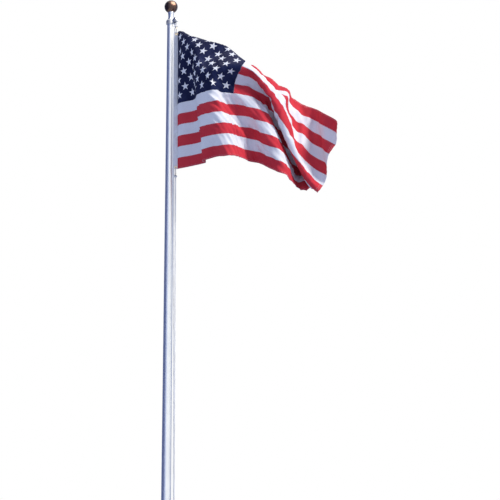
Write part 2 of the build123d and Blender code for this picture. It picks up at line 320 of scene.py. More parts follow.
def tone_drift(nodes: Nodes, place: Wire, scale: Wire, colour: Wire, shade: Wire, amount: Wire) -> Outputs:
    """Broad soft change between two colours."""
    mask = nodes.noise(place, scale, 4.0, 0.6).ramp(0.35, 0.68)
    return {"Colour": nodes.mix(mask * amount, colour, shade), "Mask": mask}


def fine_grain(nodes: Nodes, place: Wire, draw: Wire) -> Outputs:
    """Lines left by brushing or turning: noise drawn out one way."""
    return {"Height": nodes.noise(nodes.scaled(place, draw), 1.0, 3.0, 0.7)}


def edge_wear(nodes: Nodes, place: Wire, width: Wire, breaks: Wire) -> Outputs:
    """Edges rubbed bright, broken up by noise.

    Args:
        nodes: Helper of the effect's tree.
        place: Coordinates in metres.
        width: How far in from an edge it reaches.
        breaks: Scale of the noise.

    Returns:
        The mask.
    """
    rounded = nodes.add("ShaderNodeBevel", samples=4)
    nodes.set(rounded, Radius=width)
    sharp = nodes.add("ShaderNodeNewGeometry")
    turn = nodes.add("ShaderNodeVectorMath", operation="DOT_PRODUCT")
    nodes.through(turn, Wire(nodes, rounded.outputs[0]), Wire(nodes, sharp.outputs["Normal"]))
    edge = Wire(nodes, turn.outputs["Value"]).ramp(0.995, 0.93)
    return {"Mask": edge * nodes.noise(place, breaks).ramp(0.35, 0.6)}


def dust(nodes: Nodes, place: Wire, amount: Wire) -> Outputs:
    """Specks and rain marks that run down the piece.

    Args:
        nodes: Helper of the effect's tree.
        place: Coordinates in metres.
        amount: How strong it is.

    Returns:
        The mask.
    """
    runs = nodes.noise(nodes.scaled(place, (140.0, 140.0, 3.0)), 1.0, 3.0, 0.6).ramp(0.5, 0.75, 0.0, 0.6)
    specks = nodes.noise(place, 420.0, 2.0, 0.7).ramp(0.62, 0.75)
    return {"Mask": runs.math("MAXIMUM", specks) * amount}


def plain_weave(nodes: Nodes, place: Wire, pitch: Wire) -> Outputs:
    """Threads over and under each other, on coordinates in metres.

    Args:
        nodes: Helper of the effect's tree.
        place: Coordinates in metres.
        pitch: From thread to thread.

    Returns:
        The height.
    """
    warp, weft = ((axis / pitch * math.pi).math("SINE") for axis in nodes.split(place))
    upper = (warp * weft).ramp(-0.15, 0.15)
    return {"Height": abs(warp) * upper + abs(weft) * (1.0 - upper)}


def stitch_row(nodes: Nodes, distance: Wire, along: Wire, pitch: Wire, width: Wire) -> Outputs:
    """A row of lock stitches at a distance of nought from a line.

    Args:
        nodes: Helper of the effect's tree.
        distance: From the line.
        along: Run along the line.
        pitch: Length of a stitch.
        width: Half the thread's width.

    Returns:
        The mask of the thread and the pucker of the cloth beside it.
    """
    across = abs(distance) / width
    wave = (along / pitch * (2 * math.pi)).math("SINE")
    return {"Mask": across.ramp(1.0, 0.5) * wave.ramp(-0.75, -0.35), "Pucker": across.ramp(7.0, 0.5)}


def five_point_star(nodes: Nodes, x: Wire, y: Wire, radius: Wire) -> Outputs:
    """One star with a point upwards, centred on nought, y down.

    Args:
        nodes: Helper of the effect's tree.
        x: Across from the star's centre.
        y: Down from it.
        radius: Out to the points.

    Returns:
        The mask, and how far inside the edge a place is.
    """
    tenth = math.pi / 5
    turn = x.math("ARCTAN2", y * -1.0) + tenth
    folded = turn.math("FLOORED_MODULO", 2 * tenth) - tenth
    turned = (abs(folded) - 2 * tenth).math("COSINE")
    size = (x * x + y * y).math("SQRT")
    inside = radius * math.cos(2 * tenth) - size * turned
    return {"Mask": inside.ramp(-0.0002, 0.0002), "Inside": inside}


ORIGIN = (0.0, 0.0, 0.0)
GREY = (0.5, 0.5, 0.5, 1.0)
TONE_DRIFT = Effect(tone_drift, Vector=ORIGIN, Scale=8.0, Colour=GREY, Shade=GREY, Amount=0.5)
FINE_GRAIN = Effect(fine_grain, Vector=ORIGIN, Draw=(100.0, 100.0, 2000.0))
EDGE_WEAR = Effect(edge_wear, Vector=ORIGIN, Width=0.0012, Breaks=180.0)
DUST = Effect(dust, Vector=ORIGIN, Amount=0.3)
PLAIN_WEAVE = Effect(plain_weave, Vector=ORIGIN, Pitch=0.0008)
STITCH_ROW = Effect(stitch_row, Distance=0.0, Along=0.0, Pitch=0.003, Width=0.0005)
FIVE_POINT_STAR = Effect(five_point_star, X=0.0, Y=0.0, Radius=0.028)


# ---- finishes --------------------------------------------------------------------


def new_material(name: str) -> tuple[bpy.types.Material, Nodes, bpy.types.Node]:
    """Starts a material.

    Args:
        name: Its name.

    Returns:
        The material, its node helper and its Principled shader.
    """
    material = bpy.data.materials.new(name)
    material.use_nodes = True
    return material, Nodes(material.node_tree), material.node_tree.nodes["Principled BSDF"]


class Finish:
    """A finish that builds its material once and gives it to pieces."""

    name: str
    slot: Slot
    drift_scale: float
    drift: float
    made: dict[str, bpy.types.Material] = {}

    def material(self) -> bpy.types.Material:
        """The finish's material, built at its first use.

        Returns:
            The material.
        """
        if self.name not in Finish.made:
            Finish.made[self.name], nodes, shader = new_material(self.name)
            self.compose(nodes, shader)
        return Finish.made[self.name]

    def compose(self, nodes: Nodes, shader: bpy.types.Node) -> None:
        """Builds the material's nodes.

        Args:
            nodes: The material's node helper.
            shader: Its Principled shader.
        """
        raise NotImplementedError

    def tone(self, nodes: Nodes, place: Wire, colour: Value, shade: Value) -> Outputs:
        """Lets the finish drift between two colours.

        Args:
            nodes: The node helper.
            place: Coordinates in metres.
            colour: The finish's main colour.
            shade: What it drifts to.

        Returns:
            The colour, and the mask of the shade.
        """
        where = {"Vector": place, "Scale": self.drift_scale, "Amount": self.drift}
        return nodes.group(TONE_DRIFT, Colour=colour, Shade=shade, **where)

    @staticmethod
    def bump(nodes: Nodes, shader: bpy.types.Node, height: Wire, distance: float) -> None:
        """Feeds a height to the shader's normal.

        Args:
            nodes: The node helper.
            shader: The Principled shader.
            height: The height, nought to one.
            distance: What one stands for, in metres.
        """
        node = nodes.add("ShaderNodeBump")
        nodes.set(node, Strength=1.0, Distance=distance, Height=height)
        nodes.set(shader, Normal=Wire(nodes, node.outputs[0]))

    @staticmethod
    def sew(nodes: Nodes, lines: Sequence[tuple[Wire, Wire]], **settings: float) -> tuple[Wire, Wire]:
        """Lays rows of stitches.

        Args:
            nodes: The node helper.
            lines: For each row the distance from it and the run along it.
            settings: The stitches' pitch and width, where they aren't the usual ones.

        Returns:
            The mask of the thread and the pucker beside it.
        """
        rows = [nodes.group(STITCH_ROW, Distance=distance, Along=run, **settings) for distance, run in lines]
        thread, pucker = rows[0]["Mask"], rows[0]["Pucker"]
        for row in rows[1:]:
            thread, pucker = thread.math("MAXIMUM", row["Mask"]), pucker.math("MAXIMUM", row["Pucker"])
        return thread, pucker


@dataclass(frozen=True)
class MetalFinish(Finish):
    """Bare, plated or anodised metal with grain, drift, wear and rain marks."""

    name: str
    slot: Slot
    colour: Colour
    shade: Colour
    roughness: float
    drift_scale: float = 9.0
    drift: float = 0.5
    draw: Point = (60.0, 60.0, 2600.0)
    grain: float = 0.00002
    cast: float = 0.0
    wear: float = 0.5
    dust: float = 0.25
    coat: float = 0.0
    skin_scale: float = 900.0
    drift_roughness: float = 0.08
    dust_roughness: float = 0.5

    def compose(self, nodes: Nodes, shader: bpy.types.Node) -> None:
        """Builds the metal.

        Args:
            nodes: The material's node helper.
            shader: Its Principled shader.
        """
        place = nodes.place()
        tone = self.tone(nodes, place, self.colour, self.shade)
        edges = nodes.group(EDGE_WEAR, Vector=place)["Mask"]
        marks = nodes.group(DUST, Vector=place, Amount=self.dust)["Mask"]
        bright = tuple(min(1.0, 1.25 * part + 0.04) for part in self.colour)
        dull = tuple(0.55 * part + 0.03 for part in self.shade)
        worn = nodes.mix(edges * self.wear, tone["Colour"], bright)
        nodes.set(
            shader,
            Base_Color=nodes.mix(marks, worn, dull),
            Roughness=marks * self.dust_roughness + (tone["Mask"] * self.drift_roughness + self.roughness),
            Metallic=1.0,
            Coat_Weight=self.coat,
        )
        height = nodes.group(FINE_GRAIN, Vector=place, Draw=self.draw)["Height"] * self.grain
        if self.cast:
            height = nodes.noise(place, self.skin_scale, 3.0, 0.6) * self.cast + height
        self.bump(nodes, shader, height * (1 / MILLIMETRE), MILLIMETRE)


@dataclass(frozen=True)
class NylonFinish(Finish):
    """Dark moulded nylon, scuffed where the rope runs."""

    name: str = "moulded_nylon"
    slot: Slot = Slot.NYLON
    colour: Colour = (0.018, 0.018, 0.022)
    shade: Colour = (0.05, 0.05, 0.055)
    scuffed: Colour = (0.11, 0.11, 0.12)
    drift_scale: float = 220.0
    drift: float = 0.7
    roughness: float = 0.42
    grain_scale: float = 2500.0
    grain: float = 0.00002

    def compose(self, nodes: Nodes, shader: bpy.types.Node) -> None:
        """Builds the nylon.

        Args:
            nodes: The material's node helper.
            shader: Its Principled shader.
        """
        place = nodes.place()
        tone = self.tone(nodes, place, self.colour, self.shade)
        edges = nodes.group(EDGE_WEAR, Vector=place, Width=0.0006, Breaks=600.0)["Mask"]
        nodes.set(
            shader,
            Base_Color=nodes.mix(edges, tone["Colour"], self.scuffed),
            Roughness=tone["Mask"] * 0.15 + self.roughness,
        )
        self.bump(nodes, shader, nodes.noise(place, self.grain_scale, 2.0), self.grain)


@dataclass(frozen=True)
class RopeFinish(Finish):
    """Braided white polyester: yarns along each strand, with painted shade in the hollows between them."""

    name: str = "braided_polyester"
    slot: Slot = Slot.ROPE
    colour: Colour = (0.80, 0.80, 0.79)
    # painted shade: the dark colour given to the hollows between strands
    hollow_shade: Colour = (0.30, 0.31, 0.34)
    handled: Colour = (0.60, 0.59, 0.55)
    drift_scale: float = 14.0
    drift: float = 0.45
    yarns_around: float = 16.0
    yarns_along: float = 900.0
    fibres: Point = (90.0, 1800.0, 1.0)
    roughness: float = 0.68
    sheen: float = 0.25
    relief: float = 0.00015

    def compose(self, nodes: Nodes, shader: bpy.types.Node) -> None:
        """Builds the rope.

        Args:
            nodes: The material's node helper.
            shader: Its Principled shader.
        """
        chart = nodes.chart("rope")
        around, along = nodes.split(chart)
        lay = nodes.attribute("lay")
        run = along * self.yarns_along
        ways = (self.yarns_around, -self.yarns_around)
        right, left = (abs((around * yarns + run).math("SINE")) for yarns in ways)
        yarn = right * lay + left * (1.0 - lay)
        fibres = nodes.noise(nodes.scaled(chart, self.fibres), 1.0, 3.0, 0.7)
        depth = yarn * 0.25 + nodes.attribute("crown") * 0.75
        # painted shade: darker where the braid sinks between its strands and yarns
        strands = nodes.mix(depth.ramp(0.15, 0.7), self.hollow_shade, self.colour)
        tone = self.tone(nodes, nodes.place(), strands, self.handled)
        rough = fibres * 0.15 + self.roughness
        nodes.set(shader, Base_Color=tone["Colour"], Roughness=rough, Sheen_Weight=self.sheen)
        self.bump(nodes, shader, fibres * 0.3 + yarn, self.relief)


@dataclass(frozen=True)
class CanvasFinish(Finish):
    """White cotton duck of the heading with its rows of stitches."""

    name: str = "cotton_duck"
    slot: Slot = Slot.CANVAS
    colour: Colour = (0.84, 0.85, 0.88)
    shade: Colour = (0.66, 0.64, 0.58)
    slub: Colour = (0.62, 0.60, 0.55)
    thread: Colour = (0.90, 0.90, 0.88)
    drift_scale: float = 35.0
    drift: float = 0.5
    rows: tuple[float, ...] = (0.0025, 0.0235, 0.0275)
    thread_pitch: float = 0.0032
    thread_width: float = 0.0007
    weave_pitch: float = 0.0011
    slubs: Point = (120.0, 1500.0, 1.0)
    roughness: float = 0.85
    sheen: float = 0.2
    relief: float = 0.0004
    thread_height: float = 1.6
    pucker_depth: float = 1.4
    weave_height: float = 0.55

    def compose(self, nodes: Nodes, shader: bpy.types.Node) -> None:
        """Builds the canvas.

        Args:
            nodes: The material's node helper.
            shader: Its Principled shader.
        """
        chart = nodes.chart("cloth")
        across, down = nodes.split(chart)
        weave = nodes.group(PLAIN_WEAVE, Vector=chart, Pitch=self.weave_pitch)["Height"]
        tone = self.tone(nodes, chart, self.colour, self.shade)
        lines = [(across - row, down) for row in self.rows]
        thread, pucker = self.sew(nodes, lines, Pitch=self.thread_pitch, Width=self.thread_width)
        slubs = nodes.noise(nodes.scaled(chart, self.slubs), 1.0, 2.0).ramp(0.45, 0.75, 0.0, 0.35)
        cotton = nodes.mix(slubs, tone["Colour"], self.slub)
        nodes.set(
            shader,
            Base_Color=nodes.mix(thread, cotton, self.thread),
            Roughness=weave * -0.1 + self.roughness,
            Sheen_Weight=self.sheen,
        )
        height = thread * self.thread_height - pucker * self.pucker_depth + weave * self.weave_height
        self.bump(nodes, shader, height, self.relief)


@dataclass(frozen=True)
class FlagFinish(Finish):
    """Sewn nylon: thirteen stripes, a canton of fifty embroidered stars, seams and hems."""

    name: str = "sewn_nylon"
    slot: Slot = Slot.CLOTH
    white: Colour = (0.83, 0.83, 0.86)
    red: Colour = (0.66, 0.05, 0.065)
    blue: Colour = (0.009, 0.013, 0.050)
    faded_white: Colour = (0.74, 0.74, 0.78)
    faded_red: Colour = (0.56, 0.035, 0.055)
    faded_blue: Colour = (0.028, 0.036, 0.10)
    star: Colour = (0.86, 0.86, 0.88)
    thread: Colour = (0.80, 0.78, 0.80)
    drift_scale: float = 6.0
    drift: float = 0.7
    star_radius: float = 0.0282
    star_columns: int = 11
    star_rows: int = 9
    satin_lines: float = 5200.0
    seam_row: float = 0.002
    fly_rows: tuple[float, ...] = (0.004, 0.010, 0.016, 0.022)
    edge_rows: tuple[float, ...] = (0.003, 0.009)
    weave_pitch: float = 0.0006
    roughness: float = 0.66
    specular: float = 0.06
    relief: float = 0.0003
    star_height: float = 1.2
    thread_height: float = 1.3
    pucker_depth: float = 1.1
    weave_height: float = 0.2
    thread_cover: float = 0.55
    weave_shade: float = 0.12

    def _stars(self, nodes: Nodes, along: Wire, down: Wire) -> tuple[Wire, Wire]:
        """The staggered field of stars.

        Args:
            nodes: The node helper.
            along: Metres from the hoist.
            down: Metres from the top.

        Returns:
            The mask of the stars and how far inside one a place is.
        """
        column, row = CANTON[0] / (self.star_columns + 1), CANTON[1] / (self.star_rows + 1)
        x, y = along / column, down / row
        slant, counter = (((x + y) * 0.5).math("ROUND"), ((x - y) * 0.5).math("ROUND"))
        centre_x, centre_y = slant + counter, slant - counter
        star = nodes.group(
            FIVE_POINT_STAR, X=(x - centre_x) * column, Y=(y - centre_y) * row, Radius=self.star_radius
        )
        mask = star["Mask"]
        for centre, last in ((centre_x, self.star_columns), (centre_y, self.star_rows)):
            mask = mask * centre.math("GREATER_THAN", 0.5) * centre.math("LESS_THAN", last + 0.5)
        return mask, star["Inside"]

    def _rows(self, nodes: Nodes, along: Wire, down: Wire, canton: Wire) -> tuple[Wire, Wire]:
        """All the rows of stitches: seams of the stripes, hems and the canton's edge.

        Args:
            nodes: The node helper.
            along: Metres from the hoist.
            down: Metres from the top.
            canton: Mask of the canton.

        Returns:
            The mask of the thread and the pucker beside it.
        """
        from_seam = abs(down - (down / STRIPE).math("ROUND") * STRIPE)
        from_canton = abs(along - CANTON[0])
        below = down.math("GREATER_THAN", CANTON[1])
        lines = [(from_seam - self.seam_row + canton, along), (from_canton - self.seam_row + below, down)]
        lines += [(along - (FLY - row), down) for row in self.fly_rows]
        lines += [(down - place, along) for row in self.edge_rows for place in (row, HOIST - row)]
        return self.sew(nodes, lines)

    def compose(self, nodes: Nodes, shader: bpy.types.Node) -> None:
        """Builds the flag's cloth.

        Args:
            nodes: The material's node helper.
            shader: Its Principled shader.
        """
        chart = nodes.chart("cloth")
        along, down = nodes.split(chart)
        is_red = (down / STRIPE).math("FLOOR").math("FLOORED_MODULO", 2.0).math("LESS_THAN", 0.5)
        canton = along.math("LESS_THAN", CANTON[0]) * down.math("LESS_THAN", CANTON[1])
        stars, inside = self._stars(nodes, along, down)
        stars = stars * canton
        thread, pucker = self._rows(nodes, along, down, canton)
        fresh = nodes.mix(canton, nodes.mix(is_red, self.white, self.red), self.blue)
        faded = nodes.mix(canton, nodes.mix(is_red, self.faded_white, self.faded_red), self.faded_blue)
        tone = self.tone(nodes, chart, fresh, faded)
        embroidered = nodes.mix(stars, tone["Colour"], self.star)
        sewn = nodes.mix(thread * self.thread_cover, embroidered, self.thread)
        weave = nodes.group(PLAIN_WEAVE, Vector=chart, Pitch=self.weave_pitch)["Height"]
        nodes.set(
            shader,
            Base_Color=nodes.mix(weave * self.weave_shade, sewn, BLACK),
            Roughness=weave * 0.12 + self.roughness,
            Specular_IOR_Level=self.specular,
        )
        satin = abs(((along + down) * self.satin_lines).math("SINE"))
        raised = inside.ramp(0.0, 0.0012) * (satin * 0.35 + 1.0)
        height = stars * raised * self.star_height - pucker * self.pucker_depth
        height = height + thread * self.thread_height + weave * self.weave_height
        self.bump(nodes, shader, height, self.relief)


# Painted reflection: the slight blue tint of colour and shade stands in for part of the blue sky that the
# tube reflects.
SATIN = MetalFinish(
    "satin_aluminium_tube",
    Slot.SATIN,
    colour=(0.92, 0.95, 0.98),
    shade=(0.80, 0.84, 0.91),
    roughness=0.30,
    drift_scale=3.0,
    drift=0.6,
    draw=(30.0, 30.0, 1800.0),
    grain=0.000012,
)
CAST = MetalFinish(
    "cast_aluminium_skin",
    Slot.CAST,
    colour=(0.56, 0.59, 0.66),
    shade=(0.42, 0.45, 0.52),
    roughness=0.44,
    drift_scale=22.0,
    drift=0.6,
    draw=(300.0, 300.0, 300.0),
    cast=0.00006,
)
TURNED = MetalFinish(
    "turned_aluminium_rings",
    Slot.TURNED,
    colour=(0.66, 0.72, 0.84),
    shade=(0.52, 0.58, 0.70),
    roughness=0.28,
    drift_scale=30.0,
    drift=0.4,
    draw=(20.0, 20.0, 5200.0),
)
# Painted reflection: the ball's colour and its purple shade are set far darker than gold, so the ball shows
# dark surroundings and a purple rim.
GOLD = MetalFinish(
    "gold_anodised_shell_painted_dark",
    Slot.GOLD,
    colour=(0.105, 0.060, 0.045),
    shade=(0.040, 0.030, 0.060),
    roughness=0.26,
    drift_scale=16.0,
    draw=(40.0, 40.0, 3600.0),
    grain=0.000006,
    wear=0.7,
    dust=0.2,
    coat=0.35,
)
STAINLESS = MetalFinish(
    "brushed_stainless",
    Slot.STAINLESS,
    colour=(0.56, 0.57, 0.60),
    shade=(0.44, 0.45, 0.48),
    roughness=0.26,
    drift_scale=60.0,
    draw=(700.0, 700.0, 5000.0),
    grain=0.00001,
)
GALVANISED = MetalFinish(
    "galvanised_steel",
    Slot.STAINLESS,
    colour=(0.50, 0.52, 0.55),
    shade=(0.34, 0.36, 0.39),
    roughness=0.46,
    drift_scale=160.0,
    drift=0.8,
    draw=(200.0, 200.0, 900.0),
    grain=0.00001,
    cast=0.00004,
)
BRASS = MetalFinish(
    "rolled_brass",
    Slot.BRASS,
    colour=(0.72, 0.52, 0.22),
    shade=(0.46, 0.32, 0.14),
    roughness=0.24,
    drift_scale=90.0,
    drift=0.6,
    draw=(800.0, 800.0, 4000.0),
    grain=0.00001,
)
PLATED = MetalFinish(
    "nickel_plate",
    Slot.PLATED,
    colour=(0.66, 0.65, 0.63),
    shade=(0.50, 0.49, 0.47),
    roughness=0.16,
    drift_scale=110.0,
    draw=(500.0, 500.0, 3000.0),
    grain=0.000006,
)
NYLON = NylonFinish()
ROPE = RopeFinish()
CANVAS = CanvasFinish()
CLOTH = FlagFinish()


# ---- modelling helpers -----------------------------------------------------------

Piece = bpy.types.Object
Profile = list[tuple[float, float]]
AT_ORIGIN = Matrix.Identity(4)


class Bench:
    """Starts pieces from primitives, shapes them in edit mode and hands them over."""

    @staticmethod
    def clear() -> None:
        """Deselects everything in object mode."""
        if bpy.context.mode != "OBJECT":
            bpy.ops.object.mode_set(mode="OBJECT")
        bpy.ops.object.select_all(action="DESELECT")

    @staticmethod
    def pick(piece: Piece, test: Callable[[Vector, Vector], bool]) -> None:
        """Selects faces by place and normal, and goes into edit mode.

        Args:
            piece: The piece being shaped.
            test: Takes a face's centre and normal.
        """
        bpy.ops.object.mode_set(mode="EDIT")
        bpy.ops.mesh.select_all(action="DESELECT")
        bpy.ops.mesh.select_mode(type="FACE")
        bpy.ops.object.mode_set(mode="OBJECT")
        for face in piece.data.polygons:
            face.select = test(face.center, face.normal)
        bpy.ops.object.mode_set(mode="EDIT")

    @classmethod
    def turned(cls, name: str, profile: Profile, steps: int = 32) -> Piece:
        """Turns a solid: a point is extruded along the profile and spun about Z.

        Args:
            name: The piece's name.
            profile: Radius and height of each corner, from the foot up.
            steps: Faces round the turn.

        Returns:
            The piece, about its own origin.
        """
        cls.clear()
        bpy.ops.mesh.primitive_plane_add(size=0.001, location=(0, 0, 0))
        piece = bpy.context.object
        piece.name = name
        bpy.ops.object.mode_set(mode="EDIT")
        bpy.ops.mesh.select_mode(type="VERT")
        bpy.ops.mesh.select_all(action="SELECT")
        bpy.ops.mesh.merge(type="CENTER")
        radius, height = profile[0]
        bpy.ops.transform.translate(value=(radius, 0, height))
        for next_radius, next_height in profile[1:]:
            step = (next_radius - radius, 0, next_height - height)
            bpy.ops.mesh.extrude_vertices_move(TRANSFORM_OT_translate={"value": step})
            radius, height = next_radius, next_height
        bpy.ops.mesh.select_all(action="SELECT")
        bpy.ops.mesh.spin(steps=steps, angle=2 * math.pi, center=(0, 0, 0), axis=(0, 0, 1))
        bpy.ops.mesh.select_all(action="SELECT")
        bpy.ops.mesh.remove_doubles(threshold=0.000002)
        bpy.ops.mesh.normals_make_consistent(inside=False)
        bpy.ops.object.mode_set(mode="OBJECT")
        return piece

    @staticmethod
    def ring(inner: float, outer: float, low: float, high: float, edge: float) -> Profile:
        """Profile of a flat ring whose outer edges are cut back."""
        profile = [(inner, low), (outer - edge, low), (outer, low + edge), (outer, high - edge)]
        return profile + [(outer - edge, high), (inner, high), (inner, low)]

    @classmethod
    def head(cls, name: str, sides: int, size: tuple[float, float], recess: tuple[float, float]) -> Piece:
        """A prism on the origin with a recess sunk in its top, as of a screw or nut.

        Args:
            name: The piece's name.
            sides: Its sides.
            size: Radius out to its corners, and height.
            recess: Width of the wall left round the recess, and its depth.

        Returns:
            The piece.
        """
        cls.clear()
        (radius, height), (rim, depth) = size, recess
        middle = (0, 0, height / 2)
        bpy.ops.mesh.primitive_cylinder_add(vertices=sides, radius=radius, depth=height, location=middle)
        piece = bpy.context.object
        piece.name = name
        bpy.ops.object.transform_apply(location=True, rotation=True, scale=True)
        top = max(corner[2] for corner in piece.bound_box)
        cls.pick(piece, lambda centre, normal: normal.z > 0.9 and abs(centre.z - top) < 1e-6)
        bpy.ops.mesh.inset(thickness=rim, depth=0)
        bpy.ops.mesh.extrude_region_move(TRANSFORM_OT_translate={"value": (0, 0, -depth)})
        bpy.ops.object.mode_set(mode="OBJECT")
        return piece

    @classmethod
    def apply(cls, piece: Piece, kind: str, **settings: object) -> None:
        """Adds a modifier and applies it.

        Args:
            piece: The piece.
            kind: The modifier's type.
            settings: Its properties.
        """
        cls.clear()
        bpy.context.view_layer.objects.active = piece
        modifier = piece.modifiers.new(kind.lower(), kind)
        for name, value in settings.items():
            setattr(modifier, name, value)
        bpy.ops.object.modifier_apply(modifier=modifier.name)

    @classmethod
    def round_edges(cls, piece: Piece, width: float, segments: int) -> None:
        """Bevels the edges sharper than 35 degrees."""
        limit = math.radians(35)
        cls.apply(piece, "BEVEL", width=width, segments=segments, limit_method="ANGLE", angle_limit=limit)

    @classmethod
    def place(cls, piece: Piece, place: Matrix = AT_ORIGIN) -> None:
        """Puts a piece where it belongs, in its mesh, with smooth shading.

        Args:
            piece: The piece.
            place: From its own axes to the frame.
        """
        piece.data.transform(place)
        piece.matrix_world = Matrix.Identity(4)
        cls.smooth(piece)

    @classmethod
    def smooth(cls, piece: Piece, angle: float = 35.0) -> None:
        """Smooth shading, with edges sharper than an angle in degrees kept.

        Args:
            piece: The piece.
            angle: The angle.
        """
        cls.clear()
        piece.select_set(True)
        bpy.context.view_layer.objects.active = piece
        bpy.ops.object.shade_smooth_by_angle(angle=math.radians(angle))
        cls.clear()

    @classmethod
    def repeat(cls, masters: Sequence[Piece], places: dict[str, Matrix], finish: Finish, body: Body) -> None:
        """Hands over a copy of each master at each place and removes the masters.

        Args:
            masters: What is copied.
            places: Matrices, each by what the copies' names end in.
            finish: The copies' finish.
            body: The body that they ride on.
        """
        for label, place in places.items():
            for master in masters:
                twin = master.copy()
                twin.data = master.data.copy()
                twin.name = f"{master.name}_{label}"
                twin.data.transform(place)
                bpy.context.collection.objects.link(twin)
                cls.hand_over(twin, finish, body)
        for master in masters:
            bpy.data.objects.remove(master)

    @staticmethod
    def grid(name: str, points: np.ndarray, loop: bool = False, tube: bool = False) -> Piece:
        """A mesh over a grid of points.

        Args:
            name: The piece's name.
            points: The grid: columns by rows by three.
            loop: Whether the last column meets the first.
            tube: Whether the last row meets the first.

        Returns:
            The piece.
        """
        columns, rows = points.shape[:2]
        i, j = np.meshgrid(np.arange(columns - (not loop)), np.arange(rows - (not tube)), indexing="ij")
        i_next, j_next = (i + 1) % columns, (j + 1) % rows
        corners = (i * rows + j, i * rows + j_next, i_next * rows + j_next, i_next * rows + j)
        faces = np.stack([corner.ravel() for corner in corners], -1).astype(np.int32)
        data = bpy.data.meshes.new(name)
        data.vertices.add(columns * rows)
        data.vertices.foreach_set("co", points.astype(np.float32).ravel())
        data.loops.add(faces.size)
        data.loops.foreach_set("vertex_index", faces.ravel())
        data.polygons.add(len(faces))
        data.polygons.foreach_set("loop_start", np.arange(len(faces), dtype=np.int32) * 4)
        data.update(calc_edges=True)
        data.validate()
        data.shade_smooth()
        piece = bpy.data.objects.new(name, data)
        bpy.context.collection.objects.link(piece)
        return piece

    @staticmethod
    def paint(piece: Piece, name: str, *values: np.ndarray) -> None:
        """Stores one number a point as an attribute, or two as a UV map.

        Args:
            piece: The piece.
            name: The attribute's or map's name.
            values: One or two arrays with a number a point.
        """
        numbers = np.stack([value.ravel() for value in values], -1).astype(np.float32)
        if len(values) == 1:
            layer = piece.data.attributes.new(name, "FLOAT", "POINT")
            layer.data.foreach_set("value", numbers.ravel())
            return
        corners = np.zeros(len(piece.data.loops), dtype=np.int32)
        piece.data.loops.foreach_get("vertex_index", corners)
        layer = piece.data.uv_layers.new(name=name)
        layer.data.foreach_set("uv", numbers[corners].ravel())

    @staticmethod
    def hand_over(piece: Piece, finish: Finish, body: Body, *nodes: str) -> Piece:
        """Dresses a piece, joins it to its body and hides the nodes that it replaces.

        Args:
            piece: The finished piece.
            finish: Its finish.
            body: The body that it rides on.
            nodes: Nodes that it replaces.

        Returns:
            The piece.
        """
        piece.data.materials.clear()
        piece.data.materials.append(finish.material())
        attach(piece, body.value)
        if nodes:
            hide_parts(*nodes)
        log.info("%s on %s, %d faces", piece.name, body.value, len(piece.data.polygons))
        return piece


def dress_nodes(finish: Finish, *names: str) -> None:
    """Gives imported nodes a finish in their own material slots.

    Args:
        finish: The finish.
        names: The nodes.
    """
    for name in names:
        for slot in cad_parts[name].material_slots:
            slot.material = finish.material()
        log.info("%s finished as %s", name, finish.name)


def standing(place: Sequence[float], up: Sequence[float]) -> Matrix:
    """A place in the frame for a piece modelled along Z.

    Args:
        place: Where its origin goes.
        up: Where its Z axis points.

    Returns:
        The matrix.
    """
    return Matrix.Translation(place) @ Vector(up).to_track_quat("Z", "Y").to_matrix().to_4x4()


def box_corners(name: str) -> tuple[Vector, Vector]:
    """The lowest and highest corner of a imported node's box."""
    low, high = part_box(name)
    return Vector(low), Vector(high)


# ---- studio ----------------------------------------------------------------------


@dataclass(frozen=True)
class Sun:
    """A distant lamp of the studio."""

    name: str
    strength: float
    angle: float
    towards: Point
    colour: Colour


@dataclass(frozen=True)
class Screen:
    """An upright glowing screen of the studio."""

    name: str
    place: Point
    width: float
    turn: float
    colour: Colour


